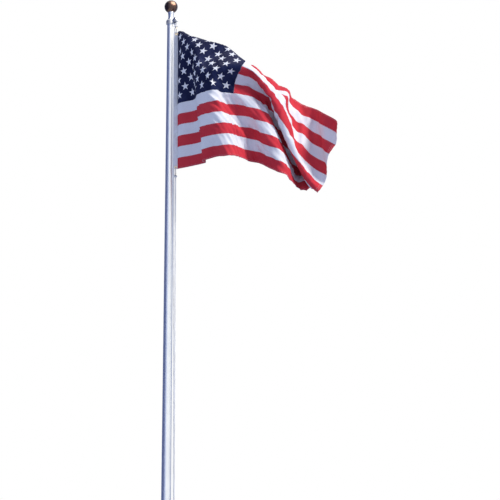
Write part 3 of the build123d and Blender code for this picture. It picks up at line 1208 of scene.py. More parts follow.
@dataclass
class Studio:
    """Camera, floor, lamps and world."""

    pitch: float = 14.02
    yaw: float = 2.26
    lens: float = 141.7
    sensor: float = 36.0
    far_limit: float = 200.0
    floor_size: float = 600.0
    floor_colour: Colour = (0.88, 0.86, 0.80)
    floor_shade: Colour = (0.84, 0.82, 0.77)
    suns: tuple[Sun, ...] = (
        Sun("key", 3.15, 16.0, (-0.67, 0.48, -0.57), (1.0, 0.96, 0.88)),
        Sun("fill", 0.06, 60.0, (0.75, 0.60, -0.25), (0.80, 0.88, 1.0)),
    )
    sun_distance: float = 12.0
    sun_aim: float = 5.0
    sky: Colour = (0.46, 0.53, 0.76)
    sky_strength: float = 0.95
    screen_height: float = 24.0
    screens: tuple[Screen, ...] = (
        Screen("screen_left", (-6.0, 4.0, 5.0), 20.0, 90.0, (0.09, 0.12, 0.27)),
        Screen("screen_front", (-5.9, -9.0, 5.0), 7.0, 20.0, (0.42, 0.50, 0.80)),
        Screen("screen_right", (6.0, 8.0, 5.0), 13.0, 90.0, (0.34, 0.38, 0.56)),
    )
    glint_power: float = 30.0
    glint_place: Point = (0.42, -0.36, 6.81)
    glint_aim: Point = (0.0, 0.0, 6.17)
    glint_colour: Colour = (1.0, 0.88, 0.66)

    def build(self) -> None:
        """Builds the studio."""
        self._camera()
        self._floor()
        self._lamps()
        self._world()
        self._screens()
        self._glint()

    @staticmethod
    def _stand(data: bpy.types.ID, place: Sequence[float], turn: Sequence[float]) -> Piece:
        """Puts a camera or lamp into the scene.

        Args:
            data: The camera or lamp.
            place: Where it stands.
            turn: Its turn about X, Y and Z.

        Returns:
            The object.
        """
        stand = bpy.data.objects.new(data.name, data)
        stand.location, stand.rotation_euler = place, turn
        bpy.context.collection.objects.link(stand)
        return stand

    @staticmethod
    def _plane(name: str, size: float, height: float, material: bpy.types.Material) -> Piece:
        """A level plane of the stage, which is no part of the flagpole.

        Args:
            name: Its name.
            size: Its side.
            height: How high it lies.
            material: Its material.

        Returns:
            The plane.
        """
        Bench.clear()
        bpy.ops.mesh.primitive_plane_add(size=size, location=(0, 0, height))
        plane = bpy.context.object
        plane.name = name
        plane.data.materials.append(material)
        return plane

    def _camera(self) -> None:
        """The camera, low and far off, looking up."""
        camera = bpy.data.cameras.new("camera")
        camera.lens, camera.sensor_width, camera.clip_end = self.lens, self.sensor, self.far_limit
        turn = (math.radians(90 + self.pitch), 0, math.radians(-self.yaw))
        bpy.context.scene.camera = self._stand(camera, EYE, turn)

    def _floor(self) -> None:
        """A pale floor that throws no light back up."""
        material, nodes, shader = new_material("pale_floor")
        tone = nodes.group(
            TONE_DRIFT,
            Vector=nodes.place(),
            Scale=1.5,
            Colour=self.floor_colour,
            Shade=self.floor_shade,
            Amount=0.5,
        )
        nodes.set(shader, Base_Color=tone["Colour"], Roughness=0.9)
        self._plane("floor", self.floor_size, -0.001, material).visible_diffuse = False

    def _lamps(self) -> None:
        """A broad key from the upper right front and a weak fill from the left."""
        for sun in self.suns:
            lamp = bpy.data.lights.new(sun.name, "SUN")
            lamp.energy, lamp.angle, lamp.color = sun.strength, math.radians(sun.angle), sun.colour
            way = Vector(sun.towards)
            place = UP * self.sun_aim - way * self.sun_distance
            stand = self._stand(lamp, place, way.to_track_quat("-Z", "Y").to_euler())
            stand.visible_glossy = False

    def _world(self) -> None:
        """White where the camera, metal and glass look; a soft cool light on the rest."""
        world = bpy.data.worlds.new("studio")
        world.use_nodes = True
        bpy.context.scene.world = world
        nodes = Nodes(world.node_tree)
        rays = nodes.add("ShaderNodeLightPath").outputs
        seen = Wire(nodes, rays["Is Camera Ray"])
        for kind in ("Is Transmission Ray", "Is Glossy Ray"):
            seen = seen.math("MAXIMUM", Wire(nodes, rays[kind]))
        nodes.set(
            world.node_tree.nodes["Background"],
            Color=nodes.mix(seen, self.sky, WHITE),
            Strength=seen * (1.0 - self.sky_strength) + self.sky_strength,
        )

    def _screens(self) -> None:
        """Three screens round the pole that only the metal sees: a dark one and two paler ones."""
        for screen in self.screens:
            material, nodes, shader = new_material(screen.name)
            nodes.set(shader, Base_Color=BLACK, Specular_IOR_Level=0.0)
            nodes.set(shader, Emission_Color=screen.colour, Emission_Strength=1.0)
            plane = self._plane(screen.name, 1.0, 0.0, material)
            turned = Matrix.Translation(screen.place) @ Matrix.Rotation(math.radians(screen.turn), 4, "Z")
            size = Matrix.Diagonal((screen.width, self.screen_height, 1.0, 1.0))
            plane.data.transform(turned @ Matrix.Rotation(math.pi / 2, 4, "X") @ size)
            plane.visible_camera = plane.visible_diffuse = plane.visible_shadow = False
            plane.visible_transmission = False

    def _glint(self) -> None:
        """A small warm panel above the ball that only shows as its highlight."""
        lamp = bpy.data.lights.new("glint", "AREA")
        lamp.shape, lamp.size, lamp.energy, lamp.color = "DISK", 1.0, self.glint_power, self.glint_colour
        way = Vector(self.glint_aim) - Vector(self.glint_place)
        stand = self._stand(lamp, self.glint_place, way.to_track_quat("-Z", "Y").to_euler())
        stand.visible_camera = stand.visible_diffuse = stand.visible_transmission = False


# ---- shoe base -------------------------------------------------------------------


@dataclass
class ShoeBase:
    """The cast base with its four anchor bolts."""

    bolts: int = 4
    bolt_turn: float = 0.3
    circle_radius: float = 0.08255
    foot_top: float = 0.018
    stud_radius: float = 0.0078
    stud_foot: float = 0.001
    stud_height: float = 0.022
    stud_chamfer: float = 0.0015
    thread_pitch: float = 0.0018
    thread_depth: float = 0.0009
    nut_corner: float = 0.0137
    nut_height: float = 0.0125
    nut_recess: float = 0.0012
    nut_rounding: float = 0.0011
    washer_radius: float = 0.0150
    washer_height: float = 0.0025
    washer_edge: float = 0.0004

    def build(self) -> None:
        """Builds the bolts and dresses the casting."""
        dress_nodes(CAST, "shoe_base")
        places = {}
        for index in range(self.bolts):
            angle = 2 * math.pi * (index + 0.5) / self.bolts
            foot = Vector((math.cos(angle), math.sin(angle), 0)) * self.circle_radius
            turn = Matrix.Rotation(angle + self.bolt_turn * index, 4, "Z")
            places[str(index + 1)] = Matrix.Translation(foot) @ turn
        Bench.repeat((self._stud(), self._nut(), self._washer()), places, GALVANISED, Body.POLE)

    def _stud(self) -> Piece:
        """The bolt's threaded end with its chamfered tip.

        Returns:
            The stud.
        """
        radius, chamfer = self.stud_radius, self.stud_chamfer
        top = self.foot_top + self.washer_height + self.stud_height
        profile = [(0.0, self.stud_foot), (radius, self.stud_foot)]
        height = self.stud_foot + self.thread_pitch
        while height < top - 0.002:
            profile += [(radius - self.thread_depth, height), (radius, height + self.thread_pitch / 2)]
            height += self.thread_pitch
        profile += [(radius, top - chamfer), (radius - chamfer, top), (0.0, top)]
        piece = Bench.turned("anchor_stud", profile, 24)
        Bench.place(piece)
        return piece

    def _nut(self) -> Piece:
        """The hexagon nut, rounded at its corners.

        Returns:
            The nut.
        """
        wall = self.nut_corner - self.stud_radius * 1.25
        piece = Bench.head("anchor_nut", 6, (self.nut_corner, self.nut_height), (wall, self.nut_recess))
        Bench.round_edges(piece, self.nut_rounding, 3)
        Bench.place(piece, Matrix.Translation(UP * (self.foot_top + self.washer_height)))
        return piece

    def _washer(self) -> Piece:
        """The flat washer.

        Returns:
            The washer.
        """
        inner, top = self.stud_radius * 1.06, self.foot_top + self.washer_height
        profile = Bench.ring(inner, self.washer_radius, self.foot_top, top, self.washer_edge)
        piece = Bench.turned("anchor_washer", profile)
        Bench.place(piece)
        return piece


# ---- shaft and cleat -------------------------------------------------------------


@dataclass
class Shaft:
    """The tapered tube and the sealing bead round its foot."""

    butt_radius: float = 0.0365
    tip_radius: float = 0.0238
    length: float = 6.096
    bead_foot: float = 0.105
    bead_side: tuple[tuple[float, float], ...] = (
        (0.0, 0.0001),
        (0.0068, 0.0001),
        (0.0052, 0.0023),
        (0.0025, 0.0038),
        (0.0, 0.0050),
    )

    def radius(self, height: float) -> float:
        """Outside radius of the tube at a height."""
        return self.butt_radius - (self.butt_radius - self.tip_radius) * height / self.length

    def build(self) -> None:
        """Dresses the tube and makes the bead."""
        dress_nodes(SATIN, "pole_shaft")
        inner = self.radius(self.bead_foot) - 0.0001
        profile = [(inner + out, self.bead_foot + up) for out, up in self.bead_side]
        profile.append(profile[0])
        bead = Bench.turned("socket_sealing_bead", profile, 64)
        Bench.place(bead)
        Bench.hand_over(bead, NYLON, Body.POLE)


@dataclass
class Cleat:
    """The horn cleat and its two screws."""

    shaft: Shaft
    height: float = 1.350
    foot_front: float = 0.0382
    screw_offset: float = 0.020
    head_radius: float = 0.0048
    head_height: float = 0.0032
    head_recess: float = 0.0019
    head_rounding: float = 0.0006

    def build(self) -> None:
        """Dresses the cleat and puts a screw through each end of its foot."""
        dress_nodes(CAST, "cleat")
        recess = (self.head_radius * 0.52, self.head_recess)
        head = Bench.head("cleat_screw", 28, (self.head_radius, self.head_height), recess)
        Bench.round_edges(head, self.head_rounding, 3)
        Bench.place(head)
        front = self.shaft.radius(self.height) + self.foot_front
        places = {
            name: standing((front, 0, self.height + side * self.screw_offset), (1, 0, 0))
            for name, side in (("upper", 1), ("lower", -1))
        }
        Bench.repeat((head,), places, STAINLESS, Body.POLE)


# ---- truck, neck and ball --------------------------------------------------------


@dataclass
class Truck:
    """The cap with its sheave fork, its set screws, the neck and the ball."""

    cap_radius: float = 0.03055
    screw_height: float = 6.081
    screw_angles: tuple[float, ...] = (36.0, 126.0, 216.0)
    screw_radius: float = 0.0034
    screw_length: float = 0.0030
    screw_sunk: float = 0.0024
    screw_recess: tuple[float, float] = (0.0013, 0.0018)
    screw_rounding: float = 0.0004
    ball_radius: float = 0.043
    ball_height: float = 6.196
    bead_side: tuple[tuple[float, float], ...] = (
        (-0.0010, -0.0007),
        (-0.0004, -0.0007),
        (-0.0001, 0.0),
        (-0.0004, 0.0007),
        (-0.0010, 0.0007),
    )
    ring_bore: float = 0.0236
    ring_radius: float = 0.0262
    ring_foot: float = 6.1010
    ring_top: float = 6.1046
    ring_edge: float = 0.0006
    knurl: float = 0.0003

    def build(self) -> None:
        """Dresses the nodes and makes the small pieces."""
        dress_nodes(CAST, "truck_cap")
        dress_nodes(TURNED, "truck_neck", "ball_stem")
        dress_nodes(NYLON, "truck_sheave")
        dress_nodes(STAINLESS, "sheave_pin")
        dress_nodes(GOLD, "ball_lower_half", "ball_upper_half")
        self._set_screws()
        self._seam_bead()
        self._jam_ring()

    def _set_screws(self) -> None:
        """Cup-point set screws that hold the cap to the tube."""
        screw = Bench.head("cap_set_screw", 24, (self.screw_radius, self.screw_length), self.screw_recess)
        Bench.round_edges(screw, self.screw_rounding, 2)
        Bench.place(screw)
        places = {}
        for index, degrees in enumerate(self.screw_angles, 1):
            out = Vector((math.cos(math.radians(degrees)), math.sin(math.radians(degrees)), 0))
            seat = out * (self.cap_radius - self.screw_sunk) + UP * self.screw_height
            places[str(index)] = standing(seat, out)
        Bench.repeat((screw,), places, STAINLESS, Body.POLE)

    def _seam_bead(self) -> None:
        """The rolled joint round the ball's middle."""
        profile = [(self.ball_radius + out, up) for out, up in self.bead_side]
        profile.append(profile[0])
        bead = Bench.turned("ball_seam_bead", profile, 96)
        Bench.place(bead, Matrix.Translation(UP * self.ball_height))
        Bench.hand_over(bead, GOLD, Body.POLE)

    def _jam_ring(self) -> None:
        """The knurled ring that locks the neck to the cap."""
        rim = self.ring_bore + 0.0015
        profile = Bench.ring(self.ring_bore, self.ring_radius, self.ring_foot, self.ring_top, self.ring_edge)
        ring = Bench.turned("neck_jam_ring", profile, 72)
        Bench.pick(ring, lambda centre, normal: abs(normal.z) < 0.2 and Vector(centre.xy).length > rim)
        bpy.ops.mesh.inset(thickness=self.knurl, depth=-self.knurl, use_individual=True)
        bpy.ops.object.mode_set(mode="OBJECT")
        Bench.place(ring)
        Bench.hand_over(ring, TURNED, Body.POLE)


# ---- ropes -----------------------------------------------------------------------


@dataclass
class Braid:
    """A braided rope that follows its route's own smooth curve."""

    radius: float = 0.003
    around: int = 16
    carriers: int = 4
    pitch: float = 0.0075
    step: float = 0.0019
    relief: float = 0.13
    end_rounding: float = 0.0015

    def line(self, name: str, route: Sequence[Point], closed: bool) -> np.ndarray:
        """Reads points along the route's curve.

        Args:
            name: Name for the curve.
            route: Its control points.
            closed: Whether it comes back to its start.

        Returns:
            Evenly spaced points, without the repeated last one of a closed line.
        """
        curve = bpy.data.curves.new(name, "CURVE")
        curve.dimensions, curve.resolution_u = "3D", 16
        spline = curve.splines.new("NURBS")
        spline.points.add(len(route) - 1)
        for point, place in zip(spline.points, route):
            point.co = (*place, 1.0)
        spline.order_u, spline.use_cyclic_u, spline.use_endpoint_u = 3, closed, not closed
        holder = bpy.data.objects.new(name, curve)
        bpy.context.collection.objects.link(holder)
        bpy.context.view_layer.update()
        mesh = bpy.data.meshes.new_from_object(holder)
        points = np.array([vertex.co for vertex in mesh.vertices])
        bpy.data.meshes.remove(mesh)
        bpy.data.objects.remove(holder)
        if closed:
            points = np.vstack([points, points[:1]])
        run = np.linalg.norm(np.diff(points, axis=0), axis=1)
        points, run = points[np.r_[True, run > 1e-7]], run[run > 1e-7]
        reach = np.r_[0.0, np.cumsum(run)]
        even = np.linspace(0.0, reach[-1], round(reach[-1] / self.step) + 1)
        evened = np.stack([np.interp(even, reach, points[:, axis]) for axis in range(3)], -1)
        return evened[:-1] if closed else evened

    @staticmethod
    def frames(line: np.ndarray, closed: bool) -> tuple[np.ndarray, np.ndarray]:
        """Two directions across the rope at each point, carried along without twist.

        Args:
            line: The rope's middle.
            closed: Whether it is a loop.

        Returns:
            The two directions, one row a point.
        """
        ahead = np.roll(line, -1, axis=0) - np.roll(line, 1, axis=0)
        if not closed:
            ahead[0], ahead[-1] = line[1] - line[0], line[-1] - line[-2]
        ahead /= np.linalg.norm(ahead, axis=1, keepdims=True)
        side = np.zeros_like(line)
        start = np.cross(ahead[0], (0.3, 0.9, 0.1))
        side[0] = start / np.linalg.norm(start)
        for index in range(1, len(line)):
            carried = side[index - 1] - ahead[index] * (side[index - 1] @ ahead[index])
            side[index] = carried / np.linalg.norm(carried)
        other = np.cross(ahead, side)
        if closed:
            home = side[-1] - ahead[0] * (side[-1] @ ahead[0])
            slip = math.atan2(float(home @ other[0]), float(home @ side[0]))
            turn = -slip * np.arange(len(line))[:, None] / len(line)
            cosine, sine = np.cos(turn), np.sin(turn)
            side, other = cosine * side + sine * other, cosine * other - sine * side
        return side, other

    def build(self, name: str, route: Sequence[Point], closed: bool = False) -> Piece:
        """Builds the rope's skin, strand by strand in relief.

        Args:
            name: The piece's name.
            route: The control points of its middle.
            closed: Whether it is a loop.

        Returns:
            The rope.
        """
        line = self.line(name, route, closed)
        side, other = self.frames(line, closed)
        count = len(line)
        place = np.arange(count)[:, None]
        along = place / count * max(1, round(count * self.step / self.pitch))
        around = np.arange(self.around)[None, :] / self.around
        first = np.sin(2 * math.pi * (self.carriers * around + along))
        second = np.sin(2 * math.pi * (self.carriers * around - along))
        over = 1 / (1 + np.exp(-8 * first * second))
        crown = np.abs(first) * over + np.abs(second) * (1 - over)
        radius = self.radius * (1 - self.relief * (1 - crown))
        if not closed:
            ends = np.minimum(place, place[::-1]) * self.step
            radius = radius * np.sqrt(np.clip(ends / self.end_rounding, 0.02, 1.0))
        turn = (2 * math.pi * around)[..., None]
        outward = np.cos(turn) * side[:, None] + np.sin(turn) * other[:, None]
        piece = Bench.grid(name, line[:, None] + radius[..., None] * outward, loop=closed, tube=True)
        Bench.paint(piece, "rope", *np.broadcast_arrays(around, place * self.step))
        Bench.paint(piece, "crown", crown)
        Bench.paint(piece, "lay", over)
        return piece


@dataclass
class Halyard:
    """The rope loop from the sheave down to the cleat and back, and its hitches."""

    centre: Point = (0.027949, -0.038469, 6.088)
    outward: Point = (0.587785, -0.809017, 0.0)
    pitch_radius: float = 0.0116
    hoist_foot: Point = (0.0577, -0.014, 1.450)
    return_foot: Point = (0.0577, 0.014, 1.450)
    turns: tuple[Point, ...] = (
        (0.0580, -0.0136, 1.388),
        (0.0507, -0.0135, 1.328),
        (0.0447, -0.0100, 1.306),
        (0.0447, 0.0115, 1.306),
        (0.0530, 0.0150, 1.326),
        (0.0845, 0.0125, 1.343),
        (0.0845, -0.0105, 1.355),
        (0.0547, -0.0225, 1.374),
        (0.0432, -0.0155, 1.391),
        (0.0447, 0.0105, 1.396),
        (0.0579, 0.0146, 1.415),
    )
    fall: Point = (-0.00495427, -0.0072814, 0.99996122)
    hitch_radius: float = 0.0066
    hitch_turns: float = 2.25
    hitch_corners: int = 8

    def sheave_corners(self) -> list[Vector]:
        """Corners of the rope's way over the sheave, from the hoist side.

        Returns:
            The corners in order.
        """
        centre, out, radius = Vector(self.centre), Vector(self.outward), self.pitch_radius
        reach, drop = radius / math.cos(math.pi / 8), UP * radius * math.tan(math.pi / 8)
        over = [centre + out * radius - drop]
        for step in range(4):
            angle = math.pi * (step + 0.5) / 4
            over.append(centre + out * math.cos(angle) * reach + UP * math.sin(angle) * reach)
        over.append(centre - out * radius - drop)
        return over

    def build(self) -> None:
        """Builds the loop and the two hitches."""
        over = self.sheave_corners()
        foot, home = Vector(self.hoist_foot), Vector(self.return_foot)
        route = [foot.lerp(over[0], share) for share in (0.5, 0.99)]
        route += over
        route += [home.lerp(over[-1], share) for share in (0.99, 0.5)]
        route += [self.return_foot, *reversed(self.turns), self.hoist_foot]
        rope = Braid().build("halyard_rope", route, closed=True)
        lengths = ("hoist_fall", "return_fall", "over_sheave", "cleat_turns")
        Bench.hand_over(rope, ROPE, Body.POLE, *(f"halyard_{length}" for length in lengths))
        for name, up in (("upper", 1), ("lower", -1)):
            self._hitch(name, up)

    def _hitch(self, name: str, up: int) -> None:
        """Two round turns on the fall with the end tucked under.

        Args:
            name: Which snap it belongs to.
            up: 1 above the flag and -1 below it.
        """
        low, high = box_corners(f"hitch_{name}")
        middle, half = (low + high) / 2, (high.z - low.z) / 2 - 0.003
        fall = Vector(self.fall)
        side = fall.cross(Vector((0, 1, 0))).normalized()
        front = side.cross(fall)
        steps = self.hitch_turns * self.hitch_corners
        reach = self.hitch_radius / math.cos(math.pi / self.hitch_corners)
        route = []
        for step in range(int(steps) + 1):
            angle = 2 * math.pi * step / self.hitch_corners
            rise = up * half * (2 * step / steps - 1)
            route.append(middle + (side * math.sin(angle) - front * math.cos(angle)) * reach + fall * rise)
        route.append(route[-1] + (route[-1] - route[-2]) * 1.2 + fall * up * 0.001)
        hitch = Braid().build(f"hitch_{name}_rope", route)
        Bench.hand_over(hitch, ROPE, Body.FLAG, f"hitch_{name}")


@dataclass
class SnapHooks:
    """The two swivel snaps with the rivets of their gates."""

    rivet_side: tuple[tuple[float, float], ...] = (
        (0.0, 0.0031),
        (0.0016, 0.0031),
        (0.0021, 0.0026),
        (0.0021, 0.0018),
        (0.0011, 0.0017),
    )
    rivet_inset: float = 0.0022
    rivet_back: float = 0.0018

    def build(self) -> None:
        """Dresses the snaps and adds each gate's rivet."""
        profile = [(radius, -height) for radius, height in self.rivet_side] + [*reversed(self.rivet_side)]
        for name in ("upper", "lower"):
            dress_nodes(PLATED, *(f"snap_{name}_{part}" for part in ("eye", "hook", "gate")))
            low, high = box_corners(f"snap_{name}_gate")
            end = high.z - self.rivet_inset if name == "upper" else low.z + self.rivet_inset
            rivet = Bench.turned(f"snap_{name}_rivet", profile, 20)
            Bench.place(rivet, standing(((low.x + high.x) / 2, high.y - self.rivet_back, end), (1, 0, 0)))
            Bench.hand_over(rivet, PLATED, Body.FLAG)
        dress_nodes(BRASS, "grommet_upper", "grommet_lower")


# ---- flag ------------------------------------------------------------------------

# Places where the cloth is held while it relaxes, fold by fold. Each is (along the fly, stripes
# down the hoist, across, drop, toward), in metres but for the stripes: across and drop are
# measured from the top of the hoist in the plane of the heading, and toward brings the place
# nearer to the eye along its line of sight.
HOLDS: dict[str, tuple[tuple[float, ...], ...]] = {
    "star rows": (
        (0.05, 0.7, 0.03, 0.025, 0.04), (0.10, 1.4, 0.04, 0.055, 0.085), (0.15, 2.1, 0.06, 0.095, 0.13),
        (0.20, 2.8, 0.08, 0.13, 0.17), (0.255, 3.5, 0.10, 0.165, 0.215), (0.305, 4.2, 0.12, 0.21, 0.245),
        (0.355, 4.9, 0.145, 0.255, 0.27), (0.405, 5.6, 0.175, 0.305, 0.29),
        (0.455, 6.3, 0.205, 0.355, 0.305), (0.20, 1.4, 0.10, 0.06, 0.16),
        (0.255, 2.1, 0.135, 0.085, 0.195), (0.305, 2.8, 0.16, 0.12, 0.225),
        (0.405, 4.2, 0.205, 0.205, 0.29), (0.51, 5.6, 0.25, 0.30, 0.325), (0.56, 6.3, 0.28, 0.35, 0.32),
        (0.355, 2.1, 0.23, 0.095, 0.21), (0.455, 3.5, 0.275, 0.17, 0.26), (0.56, 4.9, 0.32, 0.255, 0.285),
        (0.455, 2.1, 0.33, 0.125, 0.195), (0.51, 2.8, 0.355, 0.155, 0.22),
        (0.56, 3.5, 0.375, 0.19, 0.235), (0.05, 2.1, 0.02, 0.115, 0.045), (0.15, 3.5, 0.065, 0.20, 0.125),
        (0.255, 4.9, 0.10, 0.275, 0.20), (0.355, 6.3, 0.15, 0.365, 0.24),
    ),
    "strip beside the heading": (
        (0.125, 7, 0.098, 0.45, 0.055), (0.14, 9, 0.110, 0.59, 0.055), (0.17, 11, 0.145, 0.735, 0.055),
        (0.215, 13, 0.190, 0.875, 0.06), (0.27, 7, 0.112, 0.415, 0.155), (0.275, 9, 0.122, 0.56, 0.15),
        (0.295, 11, 0.152, 0.70, 0.145), (0.33, 13, 0.192, 0.845, 0.14), (0.45, 13, 0.285, 0.835, 0.20),
        (0.57, 13, 0.375, 0.84, 0.275),
    ),
    "middle": (
        (0.49, 7, 0.25, 0.38, 0.32), (0.61, 7, 0.325, 0.37, 0.285), (0.61, 3.5, 0.415, 0.20, 0.215),
        (0.61, 4.9, 0.365, 0.26, 0.26), (0.52, 8, 0.28, 0.46, 0.31), (0.53, 9, 0.29, 0.53, 0.31),
        (0.62, 11, 0.375, 0.685, 0.265), (0.69, 13, 0.43, 0.845, 0.225), (0.665, 4, 0.455, 0.24, 0.205),
        (0.68, 5, 0.455, 0.275, 0.22), (0.69, 6, 0.455, 0.345, 0.23), (0.70, 7, 0.455, 0.405, 0.24),
        (0.71, 9, 0.455, 0.55, 0.245), (0.715, 11, 0.45, 0.705, 0.225), (0.80, 9, 0.52, 0.58, 0.20),
        (0.80, 11, 0.515, 0.735, 0.195),
    ),
    "crest over the canton": (
        (0.10, 0.6, 0.05, 0.018, 0.075), (0.20, 1.0, 0.115, 0.038, 0.145),
        (0.255, 1.25, 0.16, 0.048, 0.175), (0.355, 1.6, 0.235, 0.072, 0.185),
        (0.457, 1.85, 0.33, 0.096, 0.18), (0.51, 2.3, 0.365, 0.115, 0.185),
        (0.56, 2.75, 0.40, 0.15, 0.195), (0.61, 3.1, 0.43, 0.19, 0.20),
    ),
    "top edge behind the crest": (
        (0.035, 0, 0.018, 0.014, 0.0), (0.07, 0, 0.035, 0.022, 0.015), (0.116, 0, 0.05, 0.03, 0.05),
        (0.20, 0, 0.12, 0.07, 0.09), (0.30, 0, 0.18, 0.115, 0.085), (0.40, 0, 0.24, 0.17, 0.07),
        (0.50, 0, 0.30, 0.20, 0.05), (0.59, 0, 0.38, 0.21, 0.03), (0.65, 0, 0.445, 0.188, 0.035),
    ),
    "valley": (
        (0.845, 7, 0.575, 0.48, 0.14), (0.92, 9, 0.63, 0.63, 0.14), (0.96, 11, 0.655, 0.78, 0.16),
        (0.795, 6, 0.535, 0.39, 0.18), (1.0, 12, 0.67, 0.86, 0.17), (1.14, 12, 0.72, 0.945, 0.15),
        (1.28, 11, 0.775, 0.965, 0.10), (1.14, 11, 0.72, 0.885, 0.12), (1.27, 10, 0.77, 0.905, 0.09),
        (1.08, 10, 0.70, 0.785, 0.11),
    ),
    "lower edge": (
        (0.84, 13, 0.535, 0.89, 0.17), (1.03, 13, 0.655, 0.955, 0.15), (1.10, 13, 0.70, 0.99, 0.15),
        (1.17, 13, 0.745, 1.03, 0.13), (1.25, 13, 0.80, 1.06, 0.11),
    ),
    "folded panel": (
        (0.76, 4, 0.535, 0.305, 0.185), (0.875, 4, 0.615, 0.39, 0.195), (1.0, 4, 0.685, 0.505, 0.20),
        (1.115, 4, 0.72, 0.61, 0.20), (1.265, 4, 0.80, 0.735, 0.19), (1.365, 4, 0.855, 0.805, 0.18),
        (1.524, 4, 0.94, 0.885, 0.215), (0.77, 5, 0.52, 0.35, 0.195), (0.89, 5, 0.595, 0.445, 0.205),
        (1.005, 5, 0.65, 0.545, 0.21), (1.14, 5, 0.69, 0.67, 0.21), (1.26, 5, 0.745, 0.785, 0.205),
        (1.345, 5, 0.80, 0.86, 0.195), (0.95, 5.6, 0.61, 0.52, 0.215), (1.06, 5.6, 0.645, 0.625, 0.215),
        (1.155, 5.6, 0.685, 0.72, 0.21), (1.335, 5.6, 0.785, 0.865, 0.19),
    ),
    "trough behind the ridge": (
        (0.60, 1.5, 0.395, 0.27, 0.11), (0.66, 1.6, 0.45, 0.30, 0.10), (0.73, 1.6, 0.50, 0.335, 0.10),
        (0.80, 1.6, 0.55, 0.365, 0.10), (0.88, 1.6, 0.61, 0.42, 0.10),
    ),
    "upper ridge": (
        (0.635, 3.1, 0.45, 0.195, 0.165), (0.745, 3.1, 0.535, 0.28, 0.165), (0.87, 3.1, 0.62, 0.37, 0.17),
        (0.995, 3.1, 0.68, 0.48, 0.175), (1.095, 3, 0.72, 0.565, 0.165), (1.24, 3, 0.81, 0.66, 0.175),
        (1.42, 3, 0.92, 0.765, 0.20), (1.524, 3, 0.955, 0.80, 0.215), (1.085, 2, 0.705, 0.54, 0.115),
        (1.21, 2, 0.795, 0.605, 0.14), (1.39, 2, 0.92, 0.695, 0.18), (1.524, 2, 1.01, 0.755, 0.21),
        (0.92, 1, 0.652, 0.385, 0.095), (1.00, 1, 0.71, 0.44, 0.09), (1.11, 1, 0.778, 0.53, 0.10),
        (1.31, 1, 0.885, 0.60, 0.145), (1.524, 1, 1.005, 0.665, 0.19), (0.72, 0, 0.497, 0.230, 0.035),
        (0.83, 0, 0.579, 0.290, 0.035), (0.925, 0, 0.657, 0.358, 0.035), (0.997, 0, 0.714, 0.403, 0.035),
        (1.09, 0, 0.778, 0.467, 0.045), (1.145, 0, 0.819, 0.498, 0.05), (1.335, 0, 0.937, 0.534, 0.11),
        (1.524, 0, 1.015, 0.605, 0.165),
    ),
    "fly end": (
        (1.524, 5, 0.94, 0.95, 0.20), (1.524, 6, 0.935, 1.03, 0.185), (1.524, 7, 0.93, 1.105, 0.17),
        (1.46, 7, 0.87, 1.09, 0.14), (1.39, 7, 0.80, 1.06, 0.15), (1.37, 6.5, 0.785, 0.98, 0.16),
    ),
    "folded behind": (
        (1.524, 13, 0.80, 0.885, -0.08), (1.524, 10, 0.88, 0.985, -0.02), (1.42, 13, 0.83, 0.97, -0.04),
        (1.40, 10, 0.83, 0.98, 0.02), (1.15, 9, 0.745, 0.85, 0.08), (1.32, 13, 0.83, 1.06, 0.04),
        (1.10, 7, 0.665, 0.615, 0.15), (1.25, 7, 0.75, 0.77, 0.14), (1.10, 8, 0.69, 0.65, 0.10),
        (1.25, 8, 0.79, 0.85, 0.09),
    ),
}


@dataclass
class Stiffness:
    """How hard the cloth resists each change while it relaxes."""

    steps: int
    stretch: float
    shear: float
    bend: float
    depth: float
    seen: float = 24000.0


